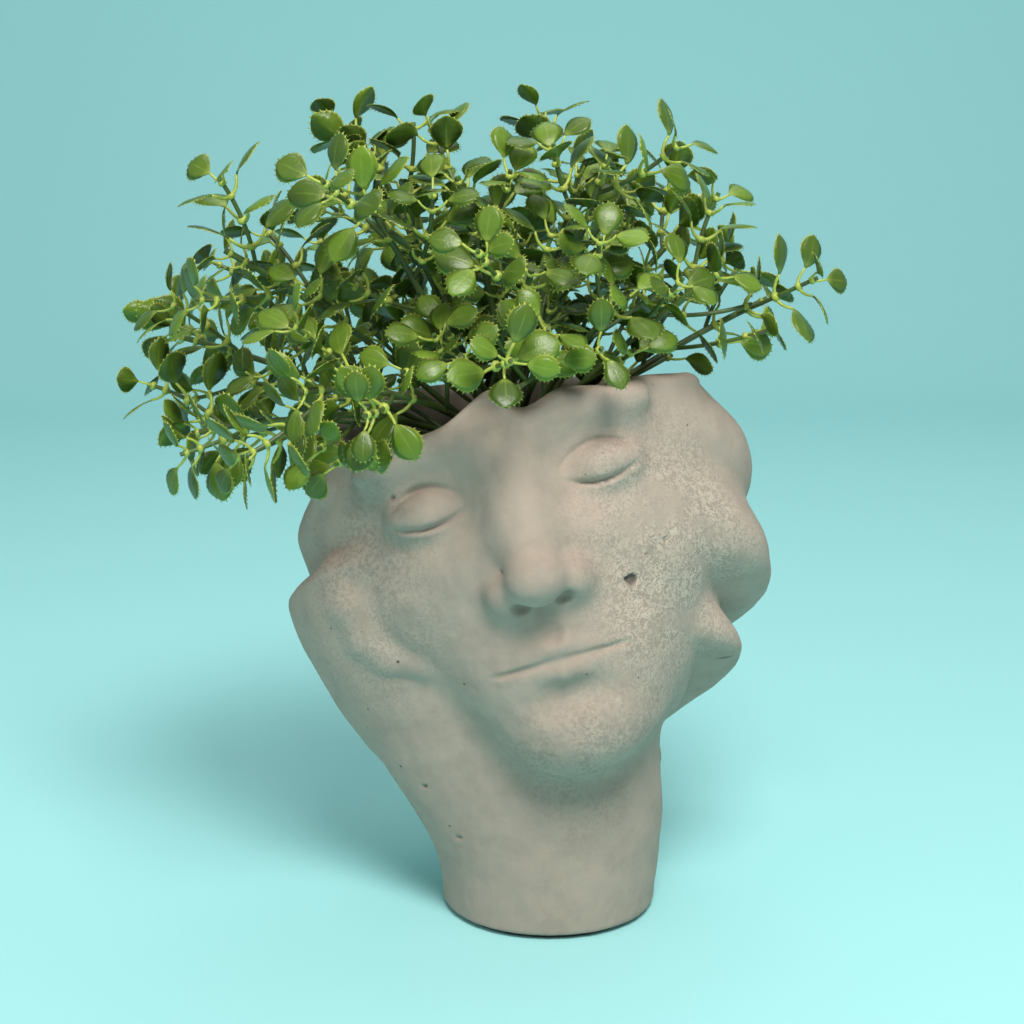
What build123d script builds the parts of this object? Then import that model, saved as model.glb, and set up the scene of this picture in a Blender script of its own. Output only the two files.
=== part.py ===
"""Head planter: a cast concrete head, open at the brow, with a bush of moulded foliage.

The head is one hollow casting on a slim round neck. It leans to the viewer's left and tips
back. The foliage is an insert that lifts straight up out of the pot: a foam plug with a dark
dressing carries a stalk, and branches with threaded-on leaf pairs are pushed into its knob.
Millimetres. +Z is up, the face looks along -Y, and +X is on the viewer's right.
"""
from build123d import *
import os
from math import acos, atan2, ceil, cos, degrees, hypot, pi, radians, sin, sqrt

import numpy as np

# Driving sizes of the casting
FACE_H = 100.0         # chin to hairline, the measure that the whole casting follows
RIM_H = 1.555 * FACE_H         # mean height of the cut rim
FOOT_R = .306 * FACE_H         # radius of the round foot
LEAN = 16.0            # degrees to the viewer's left
NOD = 13.0             # degrees tipped back
WALL = .085 * FACE_H           # thickness of the wall at the rim
LIP_H = .034 * FACE_H          # height of the rounded lip
FOOT_EDGE = .009 * FACE_H      # bevel of the foot's edge
CAVITY_FLOOR = .283 * RIM_H    # height of the pot's floor
CAVITY_FOOT_R = .20 * FACE_H   # radius of the cavity at its floor
CAVITY_X = .41 * FACE_H        # half width of the cavity at the rim
CAVITY_Y = .41 * FACE_H        # half depth of the cavity at the rim
CAVITY_LEFT = .075 * FACE_H    # how far the cavity's middle has moved to the left at the rim
CAVITY_BACK = .155 * FACE_H    # and to the back, behind the face
MOUTH_FLARE = .24 * FACE_H     # depth over which the cavity widens to the rim's wall
CAVITY_POWER = 1.7     # how early the cavity widens above its floor
PAD_T = 1.4            # felt pad under the foot
PAD_INSET = 2.2        # how far the pad stays inside the foot's edge

# Driving sizes of the insert
FIT = 0.35             # gap between the insert and the casting
SOCKET_FIT = 0.12      # gap round a stem in its socket, and round a stem in a leaf collar
FOAM_TOP = .746 * RIM_H        # height of the foam plug's top
SOIL_T = 6.0           # thickness of the dressing
SOIL_CROWN = 2.0       # how far the dressing's edge is rounded off
STALK_R = 3.5
STALK_DEPTH = .86 * (FOAM_TOP - CAVITY_FLOOR)   # length of the stalk in the foam
KNOB_R = 7.2
KNOB_RISE = 4.0        # underside of the knob above the dressing
SOCKET_DEPTH = 1.8
STALK_X = -.12 * FACE_H        # where the stalk stands in the pot
STALK_Y = .04 * FACE_H

# Driving sizes of the foliage
BRANCH_L = 110.0       # longest branch
STEM_R = 0.9
SHOOT_R = 0.62
SHOOT_L = 30.0         # longest side shoot
SHOOT_TILT = 52.0      # degrees between a side shoot and its branch
SHOOT_CURL = 26.0      # degrees that a side shoot bends back
NODE_GAP = 10.5        # distance from one leaf pair to the next along a branch
BARE_L = 24.0          # length of branch without leaves above the knob
COLLAR_R = 1.55
COLLAR_H = 1.8
LEAF_L = 11.0          # blade
LEAF_W = 9.6
LEAF_T = 0.5
LEAF_DOME_R = 13.0     # radius of the blade's domed upper side
LEAF_ROOT_W = 1.1      # width of the blade where the petiole joins it
PETIOLE_L = 5.2
PETIOLE_R = 0.5
PETIOLE_RISE = 48.0    # degrees from square to the stem
BLADE_RISE = 20.0      # degrees, in the middle of the blade
LEAF_ROOM = 1.35       # least distance kept between the mid-surfaces of two blades
STEM_ROOM = 0.9        # least distance kept between a blade and a stem's surface
HEAD_ROOM = 2.6        # least distance kept between foliage and concrete
HANG_LEFT, HANG_BACK = -22.0, 100.0   # turns beyond which foliage may hang past the rim
SHOOT_TURN = 138.0     # degrees round the branch from one side shoot to the next
SHOOT_TRY = 60.0       # degrees between the directions tried for a side shoot
SHOOT_TRIES = 6
PAIR_TURN = 90.0       # degrees from one leaf pair to the next
PAIR_TRY = 37.0        # degrees between the directions tried for a leaf pair
PAIR_TRIES = 10
SEAMS = (0, 35, 70, 105)       # degrees tried for a side shoot's seam until it joins cleanly

# Fineness of the modelled skin
AROUND = 120
ROWS_OUTSIDE = 64
ROWS_LIP = 9
ROWS_INSIDE = 12
SEARCH_STEPS = 36

# Forms of the face, in shares of FACE_H from the chin: across, up and forward.
# Each row: add or cut, one or a pair, the shape, and how softly it joins the forms above.
# A ball is a centre and three radii. A bar is two ends and two radii.
CHIN_SHARES = (0.13, -0.07, 0.50)
FACE_SHARES = (
    ("add", "one", ((0, .76, -.04), (.53, .62, .56)), 0),                  # skull
    ("add", "one", ((0, .46, .06), (.44, .46, .38)), .16),                 # jaw
    ("add", "one", ((0, .12, .27), (.20, .14, .15)), .18),                 # chin's base
    ("add", "pair", ((.32, .58, .20), (.17, .15, .14)), .14),              # cheekbones
    ("add", "pair", ((.18, .93, .385), (.24, .06, .09)), .12),             # brow
    ("cut", "pair", ((.24, .79, .56), (.16, .11, .10)), .12),              # eye sockets
    ("add", "pair", ((.245, .77, .36), (.13, .095, .10)), .04),            # closed lids
    ("add", "one", ((0, .92, .42), (0, .54, .57), .045, .06), .12),        # bridge of the nose
    ("add", "one", ((0, .52, .58), (.075, .06, .07)), .05),                # tip
    ("add", "pair", ((.095, .50, .49), (.055, .055, .07)), .05),           # wings
    ("add", "one", ((0, .31, .33), (.22, .15, .13)), .14),                 # round of the mouth
)
MOUTH_SHARES = (
    ("add", "pair", ((.026, .336, .456), (.185, .304, .385), .030, .010), 0),
    ("add", "one", ((0, .329, .458), (.01, .330, .458), .028, .028), .015),
    ("add", "one", ((0, .262, .442), (.04, .263, .441), .040, .038), .006),
    ("add", "pair", ((0, .262, .442), (.155, .286, .385), .040, .014), .002),
)
MOUTH_JOIN_SHARE = .03
CHIN_FORM_SHARES = (
    ("cut", "one", ((0, .185, .51), (.15, .05, .07)), .07),                # fold under the lip
    ("add", "one", ((0, .09, .35), (.13, .09, .09)), .10),                 # chin
)
NECK_JOIN_SHARE = .09
NECK_SHARES = ((0, 0, -.10), (.01, .03, .62), -.010, .015)   # ends, then radii beyond FOOT_R
HAIR_JOIN_SHARE = .035

# The head's axis at the rim, across and back, in shares of FACE_H
AXIS_TOP_SHARES = (-.06, .08)
SEARCH_SHARE = .80     # where the search for the face starts from outside
REACH_SHARE = .62      # how far the face reaches out, for keeping leaves off it

# Outlines of the hair and neck: height in shares of FACE_H, and radius beyond FOOT_R likewise
RIGHT_LINE_SHARES = ((0, 0), (.14, .020), (.30, .037), (.42, .030), (.52, .006), (.655, .105),
                     (.80, .19), (.90, .235), (1.05, .270), (1.24, .320), (1.42, .275),
                     (1.58, .150), (1.75, .08))
LEFT_LINE_SHARES = ((0, 0), (.17, .030), (.30, .092), (.42, .165), (.55, .230), (.70, .280),
                    (.82, .320), (.92, .340), (1.02, .345), (1.12, .350), (1.25, .325),
                    (1.42, .300), (1.60, .28), (1.75, .24))
BACK_LINE_SHARES = ((0, 0), (.15, .025), (.30, .095), (.45, .195), (.65, .295), (.90, .370),
                    (1.15, .385), (1.35, .355), (1.55, .275), (1.75, .20))
FRONT_LINE_SHARES = ((0, 0), (.20, .010), (.50, .020), (.80, .045), (1.2, .085), (1.75, .045))

# Locks of hair between notches, from the neck up, with how far each stands out
# and how far down from its upper notch it stands out most
RIGHT_NOTCH_SHARES = (.30, .50, .655, .875, 1.235, 1.70)
RIGHT_BULGE_SHARES = (0, .02, .115, .125, .035)
RIGHT_PEAK_SHARES = (.6, .7, .74, .72, .60)
LEFT_NOTCH_SHARES = (.10, .42, .99, 1.26, 1.56, 1.86)
LEFT_BULGE_SHARES = (0, .085, .030, .030, .03)
LEFT_PEAK_SHARES = (.6, .17, .55, .7, .7)
SWEEP_SHARE = .46      # how far the locks run down from the temples to the nape
SWAY_SHARE = .05       # the S in that run
BACK_SHARE = .55       # height of the locks at the back against the sides
PARTING_SHARE = .35    # the same where left and right locks meet
RISE_SHARES = (.12, .42)    # heights over which the locks grow out of the neck
# Degrees from the front: where the locks begin and stand full, start to run down, and calm
LOCKS_BEGIN, LOCKS_FULL, SWEEP_BEGIN, CALM_BEGIN = 48.0, 74.0, 87.0, 110.0
PARTING_SPAN = 16.0    # degrees either side of the back where left and right locks meet

# The cut rim: turn from the front in degrees, and height in shares of RIM_H
RIM_SHARES = ((-180, .955), (-140, .940), (-100, .910), (-72, .905), (-50, .925), (-32, .960),
              (-17, 1.022), (-5, .995), (12, 1.025), (32, 1.030), (60, 1.035), (90, 1.020),
              (120, .990), (150, .968), (180, .955))

# Branches: turn from the front and rise in degrees, length in shares of BRANCH_L,
# total bend in degrees (down is negative) and the turn of the bend's plane
BRANCH_SHARES = (
    (-103, 24, .92, -12, -4), (-78, 24, .80, -43, -26), (-83, 45, .87, -16, 22),
    (-122, 36, .84, -16, -15), (-58, 62, .80, -7, 18), (-36, 39, .72, -43, -24),
    (5, 69, .58, -23, 15), (47, 59, .56, -21, 6), (77, 49, .70, -15, 29),
    (114, 55, .74, -11, -18), (168, 46, .76, -16, 10), (70, 73, .78, -4, -11),
    (-107, 67, .84, -4, 16), (-24, 85, .72, -19, -34), (-158, 36, .82, -16, 12),
    (147, 70, .78, -12, -13), (-17, 53, .50, -33, 5), (16, 53, .46, -29, -5),
    (-57, 29, .62, -29, 10), (100, 37, .76, -13, -7),
)
SHOOT_SHARES = (.95, .90, 1.0, .85, .95, .80)    # lengths of a branch's side shoots
LEAF_SIZE_SHARES = (.80, .90, 1.0)       # young, middle and full-grown leaf pairs
SHOOT_PAIR_SHARES = (0, .15, .42, .70)   # leaf pairs of a side shoot, back from its tip
TIP_PAIR_SHARES = (0, .40)               # leaf pairs at a branch's tip, back in NODE_GAP
LAST_PAIR_SHARE = .45                    # next pair along the branch
LAST_SHOOT_SHARE = .95                   # first side shoot, back from the branch's tip
HALF_TURN = 180.0


def smin(a, b, soft):
    """Union of two distance fields with a soft join."""
    if soft <= 0:
        return np.minimum(a, b)
    h = np.maximum(soft - np.abs(a - b), 0) / soft
    return np.minimum(a, b) - h * h * soft / 4


def ball(p, centre, radii):
    """Distance to an ellipsoid, near enough for a soft union."""
    radii = np.asarray(radii, float)
    q = p - np.asarray(centre, float)
    near = np.sqrt(np.sum((q / radii) ** 2, -1))
    slope = np.sqrt(np.sum((q / radii ** 2) ** 2, -1)) + 1e-9
    return near * (near - 1) / slope


def bar(p, start, end, r_start, r_end):
    """Distance to a round bar that tapers from one ball to another."""
    start, end = np.asarray(start, float), np.asarray(end, float)
    run = end - start
    along = np.clip(((p - start) @ run) / (run @ run), 0, 1)
    gap = p - start - along[..., None] * run
    return np.sqrt(np.sum(gap ** 2, -1)) - (r_start + (r_end - r_start) * along)


def add_forms(distance, q, forms):
    """Join the rows of a table of forms to a distance field, in order."""
    mirrored = np.stack([np.abs(q[..., 0]), q[..., 1], q[..., 2]], -1)
    for action, count, shape, soft in forms:
        place = mirrored if count == "pair" else q
        new = ball(place, *shape) if len(shape) == 2 else bar(place, *shape)
        if distance is None:
            distance = new
        elif action == "add":
            distance = smin(distance, new, soft)
        else:
            distance = -smin(-distance, new, soft)
    return distance


def head_axes():
    """Directions across, up and forward of the leaning head."""
    lean, nod = radians(LEAN), radians(NOD)
    across = np.array([cos(lean), 0, sin(lean)])
    up = np.array([-cos(nod) * sin(lean), sin(nod), cos(nod) * cos(lean)])
    forward = np.array([-sin(nod) * sin(lean), -cos(nod), sin(nod) * cos(lean)])
    return across, up, forward


def face_distance(p):
    """Distance from points to the face and the neck, in shares of FACE_H."""
    p = p / FACE_H
    across, up, forward = head_axes()
    q = p - np.array(CHIN_SHARES)
    q = np.stack([q @ across, q @ up, q @ forward], -1)
    d = add_forms(None, q, FACE_SHARES)
    d = smin(d, add_forms(None, q, MOUTH_SHARES), MOUTH_JOIN_SHARE)
    d = add_forms(d, q, CHIN_FORM_SHARES)
    low, high, r_low, r_high = NECK_SHARES
    neck = bar(p, low, high, r_low + FOOT_R / FACE_H, r_high + FOOT_R / FACE_H)
    return smin(d, neck, NECK_JOIN_SHARE)


def line(x, points):
    """Smooth line through hand-set points, at x."""
    xs, ys = np.array(points, float).T
    slopes = np.gradient(ys, xs)
    i = np.clip(np.searchsorted(xs, x) - 1, 0, len(xs) - 2)
    h = xs[i + 1] - xs[i]
    t = np.clip((x - xs[i]) / h, 0, 1)
    rise = ys[i] * (1 + 2 * t) * (1 - t) ** 2 + ys[i + 1] * t * t * (3 - 2 * t)
    return rise + h * (slopes[i] * t * (1 - t) ** 2 + slopes[i + 1] * t * t * (t - 1))


def ease(x):
    """0 to 1 with level ends."""
    x = np.clip(x, 0, 1)
    return x * x * (3 - 2 * x)


def lock_relief(z, notches, bulges, peaks):
    """Height of the locks at z: a slow swell down from each notch, then a tuck under the tip."""
    notches = np.array(notches)
    k = np.clip(np.searchsorted(notches, z) - 1, 0, len(notches) - 2)
    down = np.clip((notches[k + 1] - z) / (notches[k + 1] - notches[k]), 0, 1)
    peak = np.array(peaks)[k]
    swell = np.sin(pi / 2 * np.clip(down / peak, 0, 1)) ** 2
    tuck = np.cos(pi / 2 * np.clip((down - peak) / (1 - peak), 0, 1))
    return np.array(bulges)[k] * np.where(down < peak, swell, tuck)


def hair_radius(turn, z):
    """Radius of the hair and neck about the head's axis. turn is 0 in front, in radians."""
    z = z / FACE_H
    right = np.sin(turn) >= 0
    side = np.where(right, line(z, RIGHT_LINE_SHARES), line(z, LEFT_LINE_SHARES))
    ends = np.where(np.cos(turn) >= 0, line(z, FRONT_LINE_SHARES), line(z, BACK_LINE_SHARES))
    side, ends = side + FOOT_R / FACE_H, ends + FOOT_R / FACE_H
    plain = 1 / np.sqrt((np.sin(turn) / side) ** 2 + (np.cos(turn) / ends) ** 2)
    away = np.abs(turn)
    sweep = np.clip((away - radians(SWEEP_BEGIN)) / (pi - radians(SWEEP_BEGIN)), -.3, 1)
    run = z + SWEEP_SHARE * sweep + SWAY_SHARE * np.sin(2 * pi * sweep)
    relief = np.where(right,
                      lock_relief(run, RIGHT_NOTCH_SHARES, RIGHT_BULGE_SHARES, RIGHT_PEAK_SHARES),
                      lock_relief(run, LEFT_NOTCH_SHARES, LEFT_BULGE_SHARES, LEFT_PEAK_SHARES))
    relief = relief * ease((away - radians(LOCKS_BEGIN)) / radians(LOCKS_FULL - LOCKS_BEGIN))
    calm = np.clip((away - radians(CALM_BEGIN)) / (pi - radians(CALM_BEGIN)), 0, 1)
    relief = relief * (1 - (1 - BACK_SHARE) * calm)
    parting = ease((pi - away) / radians(PARTING_SPAN))
    relief = relief * (PARTING_SHARE + (1 - PARTING_SHARE) * parting)
    low, high = RISE_SHARES
    return (plain + relief * ease((z - low) / (high - low))) * FACE_H


def rim_height(turn):
    """Height of the cut rim round the head."""
    return RIM_H * line(np.degrees(turn), RIM_SHARES)


def axis_at(z):
    """Where the head's axis runs at a height."""
    s = ease(z / RIM_H)
    x, y = AXIS_TOP_SHARES
    return np.stack([x * FACE_H * s, y * FACE_H * s], -1)


def rays(turn, z):
    """Start and direction of the level rays from the axis."""
    centre = axis_at(z)
    start = np.stack([centre[..., 0], centre[..., 1], z], -1)
    return start, np.stack([np.sin(turn), -np.cos(turn), 0 * turn], -1)


def outer_radius(turn, z):
    """Radius of the casting's outside along each ray: the face, softly joined to the hair."""
    start, way = rays(turn, z)
    face = np.full(turn.shape, SEARCH_SHARE * FACE_H)
    front = np.cos(turn) > -.5
    start, way, r = start[front], way[front], face[front]
    for _ in range(SEARCH_STEPS):
        gap = face_distance(start + way * r[..., None]) * FACE_H
        r = np.maximum(r - .75 * gap, 0)
        if np.abs(gap).max() < .02:
            break
    face[front] = r
    face[~front] = 0
    return -smin(-face, -hair_radius(turn, z), HAIR_JOIN_SHARE * FACE_H)


def cavity_section(z):
    """Centre and half sizes of the tapered cavity at a height. It only widens upwards."""
    f = np.clip((z - CAVITY_FLOOR) / (RIM_H - CAVITY_FLOOR), 0, 1)
    f = 1 - (1 - f) ** CAVITY_POWER
    centre = np.stack([-CAVITY_LEFT * f, CAVITY_BACK * f], -1)
    return centre, CAVITY_FOOT_R + (CAVITY_X - CAVITY_FOOT_R) * f, \
        CAVITY_FOOT_R + (CAVITY_Y - CAVITY_FOOT_R) * f


def cavity_radius(turn, z):
    """Distance from the head's axis to the tapered cavity's wall along each ray."""
    centre, half_x, half_y = cavity_section(z)
    start, way = rays(turn, z)
    ox, oy = (start[..., 0] - centre[..., 0]) / half_x, (start[..., 1] - centre[..., 1]) / half_y
    dx, dy = way[..., 0] / half_x, way[..., 1] / half_y
    a, b, c = dx * dx + dy * dy, ox * dx + oy * dy, ox * ox + oy * oy - 1
    return (-b + np.sqrt(b * b - a * c)) / a


def skin_rows():
    """Rows of points round the foot's edge, up the outside, over the lip and down the inside.

    Neighbouring bands share a row.
    """
    x = np.linspace(-1, 1, AROUND, endpoint=False)
    turn = pi * (.6 * x + .4 * x ** 3)
    top = rim_height(turn) - LIP_H
    low = PAD_T + FOOT_EDGE
    foot = [(z, outer_radius(turn, z) - drawn_in)
            for z, drawn_in in ((0 * turn + PAD_T, FOOT_EDGE), (0 * turn + low, 0))]
    outside = []
    for share in np.linspace(0, 1, ROWS_OUTSIDE):
        z = low + share * (top - low)
        outside.append((z, outer_radius(turn, z)))
    brink = outside[-1][1]
    throat = np.maximum(cavity_radius(turn, top), brink - WALL)
    lip = []
    for angle in np.linspace(0, pi, ROWS_LIP):
        half = (brink - throat) / 2
        lip.append((top + LIP_H * sin(angle), throat + half + half * cos(angle)))
    inside = []
    for share in np.linspace(1, 0, ROWS_INSIDE):
        z = CAVITY_FLOOR + share * (top - CAVITY_FLOOR)
        widen = ease(1 - (top - z) / MOUTH_FLARE)
        inside.append((z, cavity_radius(turn, z) + (throat - cavity_radius(turn, top)) * widen))
    return [[points_of(turn, z, r) for z, r in rows] for rows in (foot, outside, lip, inside)]


def points_of(turn, z, r):
    """Points at a radius along the level rays."""
    start, way = rays(turn, z)
    return start + way * r[..., None]


def row_wire(row):
    """Smooth closed line through a row of points."""
    shares = [i / AROUND for i in range(AROUND + 1)]
    return Wire([Edge.make_spline([Vector(*p) for p in row], periodic=True, parameters=shares)])


def planter_head():
    """Skins of the foot's edge, outside, lip and inside, closed by the foot and the pot's floor."""
    bands = [[row_wire(row) for row in rows] for rows in skin_rows()]
    skins = [Shell.make_loft(wires, ruled=len(wires) == 2).face() for wires in bands]
    ends = [Face(bands[0][0]), Face(bands[-1][-1])]
    return Solid(Shell(skins + ends))


def foot_pad():
    """Felt disc under the foot."""
    return Pos(0, 0, PAD_T / 2) * Cylinder(FOOT_R - PAD_INSET, PAD_T)


def cavity_slice(z, shrink):
    """Ellipse of the cavity at a height, drawn in by a gap."""
    centre, half_x, half_y = cavity_section(np.array(float(z)))
    place = Plane(origin=(float(centre[0]), float(centre[1]), z))
    return place * Ellipse(float(half_x) - shrink, float(half_y) - shrink)


def foam_plug():
    """Tapered foam block that fills the lower cavity, with the hole for the stalk."""
    heights = np.linspace(CAVITY_FLOOR, FOAM_TOP, 6)
    block = loft([cavity_slice(z, FIT) for z in heights])
    hole = Pos(STALK_X, STALK_Y, FOAM_TOP - STALK_DEPTH / 2)
    return block - hole * Cylinder(STALK_R + SOCKET_FIT, STALK_DEPTH)


def soil_dressing():
    """Dark dressing over the foam, with a rounded edge."""
    shoulder = FOAM_TOP + SOIL_T - SOIL_CROWN
    body = loft([cavity_slice(FOAM_TOP, FIT), cavity_slice(shoulder, FIT)])
    crown = loft([cavity_slice(shoulder, FIT), cavity_slice(FOAM_TOP + SOIL_T, FIT + SOIL_CROWN)])
    hole = Pos(STALK_X, STALK_Y, FOAM_TOP + SOIL_T / 2)
    return (body + crown) - hole * Cylinder(STALK_R + SOCKET_FIT, SOIL_T)


def unit(v):
    """Direction of a vector."""
    return v / np.linalg.norm(v)


class Arc:
    """A stem's centre line: start, direction, length, and an even bend towards a direction."""

    def __init__(self, start, way, length, bend, towards):
        self.start, self.way, self.length = start, unit(way), length
        self.bend = bend
        self.towards = unit(towards - self.way * (towards @ self.way))

    def at(self, s):
        """Point and direction at a length along the line."""
        angle = self.bend * s / self.length
        r = self.length / self.bend
        point = self.start + r * (sin(angle) * self.way + (1 - cos(angle)) * self.towards)
        return point, cos(angle) * self.way + sin(angle) * self.towards

    def tube(self, radius, seam=0):
        """Round tube along the line, with its seam turned by so many degrees."""
        places = [Vector(*self.at(self.length * share)[0]) for share in (0, .5, 1)]
        path = Edge.make_three_point_arc(*places)
        end = Plane(origin=places[0], z_dir=Vector(*self.way))
        return sweep(end * Rot(0, 0, seam) * Circle(radius), path=path)

    def samples(self, skip, step):
        """Points along the line past a skipped length."""
        count = max(int(ceil((self.length - skip) / step)), 1)
        return np.array([self.at(skip + (self.length - skip) * i / count)[0]
                         for i in range(count + 1)])


def knob_centre():
    """Middle of the knob on the stalk."""
    return np.array([STALK_X, STALK_Y, FOAM_TOP + SOIL_T + KNOB_RISE + KNOB_R])


def branch_lines():
    """Centre lines of the branches, from their sockets in the knob."""
    lines = []
    for turn, rise, share, bend, roll in BRANCH_SHARES:
        turn, rise = radians(turn), radians(rise)
        way = np.array([sin(turn) * cos(rise), -cos(turn) * cos(rise), sin(rise)])
        level = unit(np.cross(way, [0, 0, 1]))
        over = unit(np.cross(level, way))
        towards = (over * cos(radians(roll)) + level * sin(radians(roll))) * (1 if bend > 0 else -1)
        start = knob_centre() + way * (KNOB_R - SOCKET_DEPTH)
        lines.append(Arc(start, way, share * BRANCH_L, radians(abs(bend)), towards))
    return lines


def bush_stalk(lines):
    """Stalk with a round knob and a socket for each branch."""
    centre = knob_centre()
    low = FOAM_TOP - STALK_DEPTH
    stalk = Pos(STALK_X, STALK_Y, (low + centre[2]) / 2) * Cylinder(STALK_R, centre[2] - low)
    body = stalk + Pos(*centre) * Sphere(KNOB_R)
    for each in lines:
        socket = Plane(origin=Vector(*each.start), z_dir=Vector(*each.way))
        body -= socket * Cylinder(STEM_R + SOCKET_FIT, KNOB_R,
                                  align=(Align.CENTER, Align.CENTER, Align.MIN))
    return body


def blade_shape():
    """Where the blade's round end is centred, and where the straight root sides meet it."""
    r, half = LEAF_W / 2, LEAF_ROOT_W / 2
    middle = LEAF_L - r
    angle = atan2(half, -middle) - acos(r / hypot(middle, half))
    return middle, angle, middle + r * cos(angle), r * sin(angle)


def blade_face():
    """Flat outline of a blade along +X, root at the origin: a disc drawn out to the root."""
    middle, angle, x, y = blade_shape()
    half = LEAF_ROOT_W / 2
    disc = CenterArc((middle, 0), LEAF_W / 2, -degrees(angle), 2 * degrees(angle))
    sides = [Line((0, -half), (x, -y)), Line((x, y), (0, half)), Line((0, half), (0, -half))]
    return make_face([disc] + sides)


def leaf_pair(size, bore):
    """Two opposite domed leaves on a collar, moulded in one piece. The stem runs along +Z."""
    middle = blade_shape()[0]
    dome = Sphere(LEAF_DOME_R) - Sphere(LEAF_DOME_R - LEAF_T)
    top = sqrt(LEAF_DOME_R ** 2 - middle ** 2)
    blade = extrude(blade_face(), LEAF_DOME_R) & (Pos(middle, 0, 0) * Rot(90, 0, 0) * dome)
    blade = Pos(0, 0, -top) * blade
    rise = radians(PETIOLE_RISE)
    end_x = COLLAR_R + PETIOLE_L * cos(rise)
    end_z = PETIOLE_L * sin(rise)
    blade = Pos(end_x, 0, end_z) * Rot(0, -BLADE_RISE, 0) * blade
    reach = PETIOLE_L + COLLAR_R / 2
    stalk = Plane(origin=(end_x + PETIOLE_R, 0, end_z + PETIOLE_R / 2),
                  z_dir=(-cos(rise), 0, -sin(rise)))
    petiole = stalk * Cylinder(PETIOLE_R, reach, align=(Align.CENTER, Align.CENTER, Align.MIN))
    leaf = blade + petiole
    pair = leaf + Rot(0, 0, HALF_TURN) * leaf + Cylinder(COLLAR_R, COLLAR_H)
    pair = scale(pair, by=size)
    return pair - Cylinder(bore, 3 * COLLAR_H)


def pair_samples():
    """Points on a full-size pair's blades and petioles, for keeping leaves apart."""
    rise, tilt = radians(PETIOLE_RISE), radians(BLADE_RISE)
    end = np.array([COLLAR_R + PETIOLE_L * cos(rise), PETIOLE_L * sin(rise)])
    middle, _, x_side, y_side = blade_shape()
    points = []
    for x in np.linspace(0, LEAF_L, 9):
        root = LEAF_ROOT_W / 2
        half = root + (y_side - root) * x / x_side
        if x > x_side:
            half = sqrt(LEAF_W ** 2 / 4 - (x - middle) ** 2)
        for y in np.linspace(-half, half, 7):
            z = (middle ** 2 - (x - middle) ** 2 - y ** 2) / (2 * LEAF_DOME_R)
            points.append((end[0] + x * cos(tilt) - z * sin(tilt), y,
                           end[1] + x * sin(tilt) + z * cos(tilt)))
    for share in (.35, .7):
        reach = share * PETIOLE_L
        points.append((COLLAR_R + reach * cos(rise), 0, reach * sin(rise)))
    points = np.array(points)
    return np.concatenate([points, points * np.array([-1, -1, 1])])


def least_gap(a, b):
    """Least distance between two sets of points."""
    if len(a) == 0 or len(b) == 0:
        return np.inf
    square = np.sum(a * a, 1)[:, None] + np.sum(b * b, 1)[None] - 2 * a @ b.T
    return float(np.sqrt(max(square.min(), 0)))


def over_head(points):
    """Whether points keep clear of the casting, above the rim or outside the wall."""
    turn = np.arctan2(points[:, 0] - axis_at(points[:, 2])[..., 0],
                      axis_at(points[:, 2])[..., 1] - points[:, 1])
    out = np.hypot(*(points[:, :2] - axis_at(points[:, 2])).T)
    top = rim_height(turn)
    wall = hair_radius(turn, np.minimum(points[:, 2], top))
    face = REACH_SHARE * FACE_H * np.cos(turn)
    wall = np.maximum(wall, face) + HEAD_ROOM
    inside = np.maximum(cavity_radius(turn, np.minimum(points[:, 2], top)) - HEAD_ROOM, 0)
    hangs = (np.degrees(turn) < HANG_LEFT) | (np.degrees(turn) > HANG_BACK)
    clear = (points[:, 2] > top + HEAD_ROOM) | (out > wall) & hangs | (out < inside)
    return bool(clear.all() and points[:, 2].min() > FOAM_TOP + SOIL_T + HEAD_ROOM)


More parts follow.
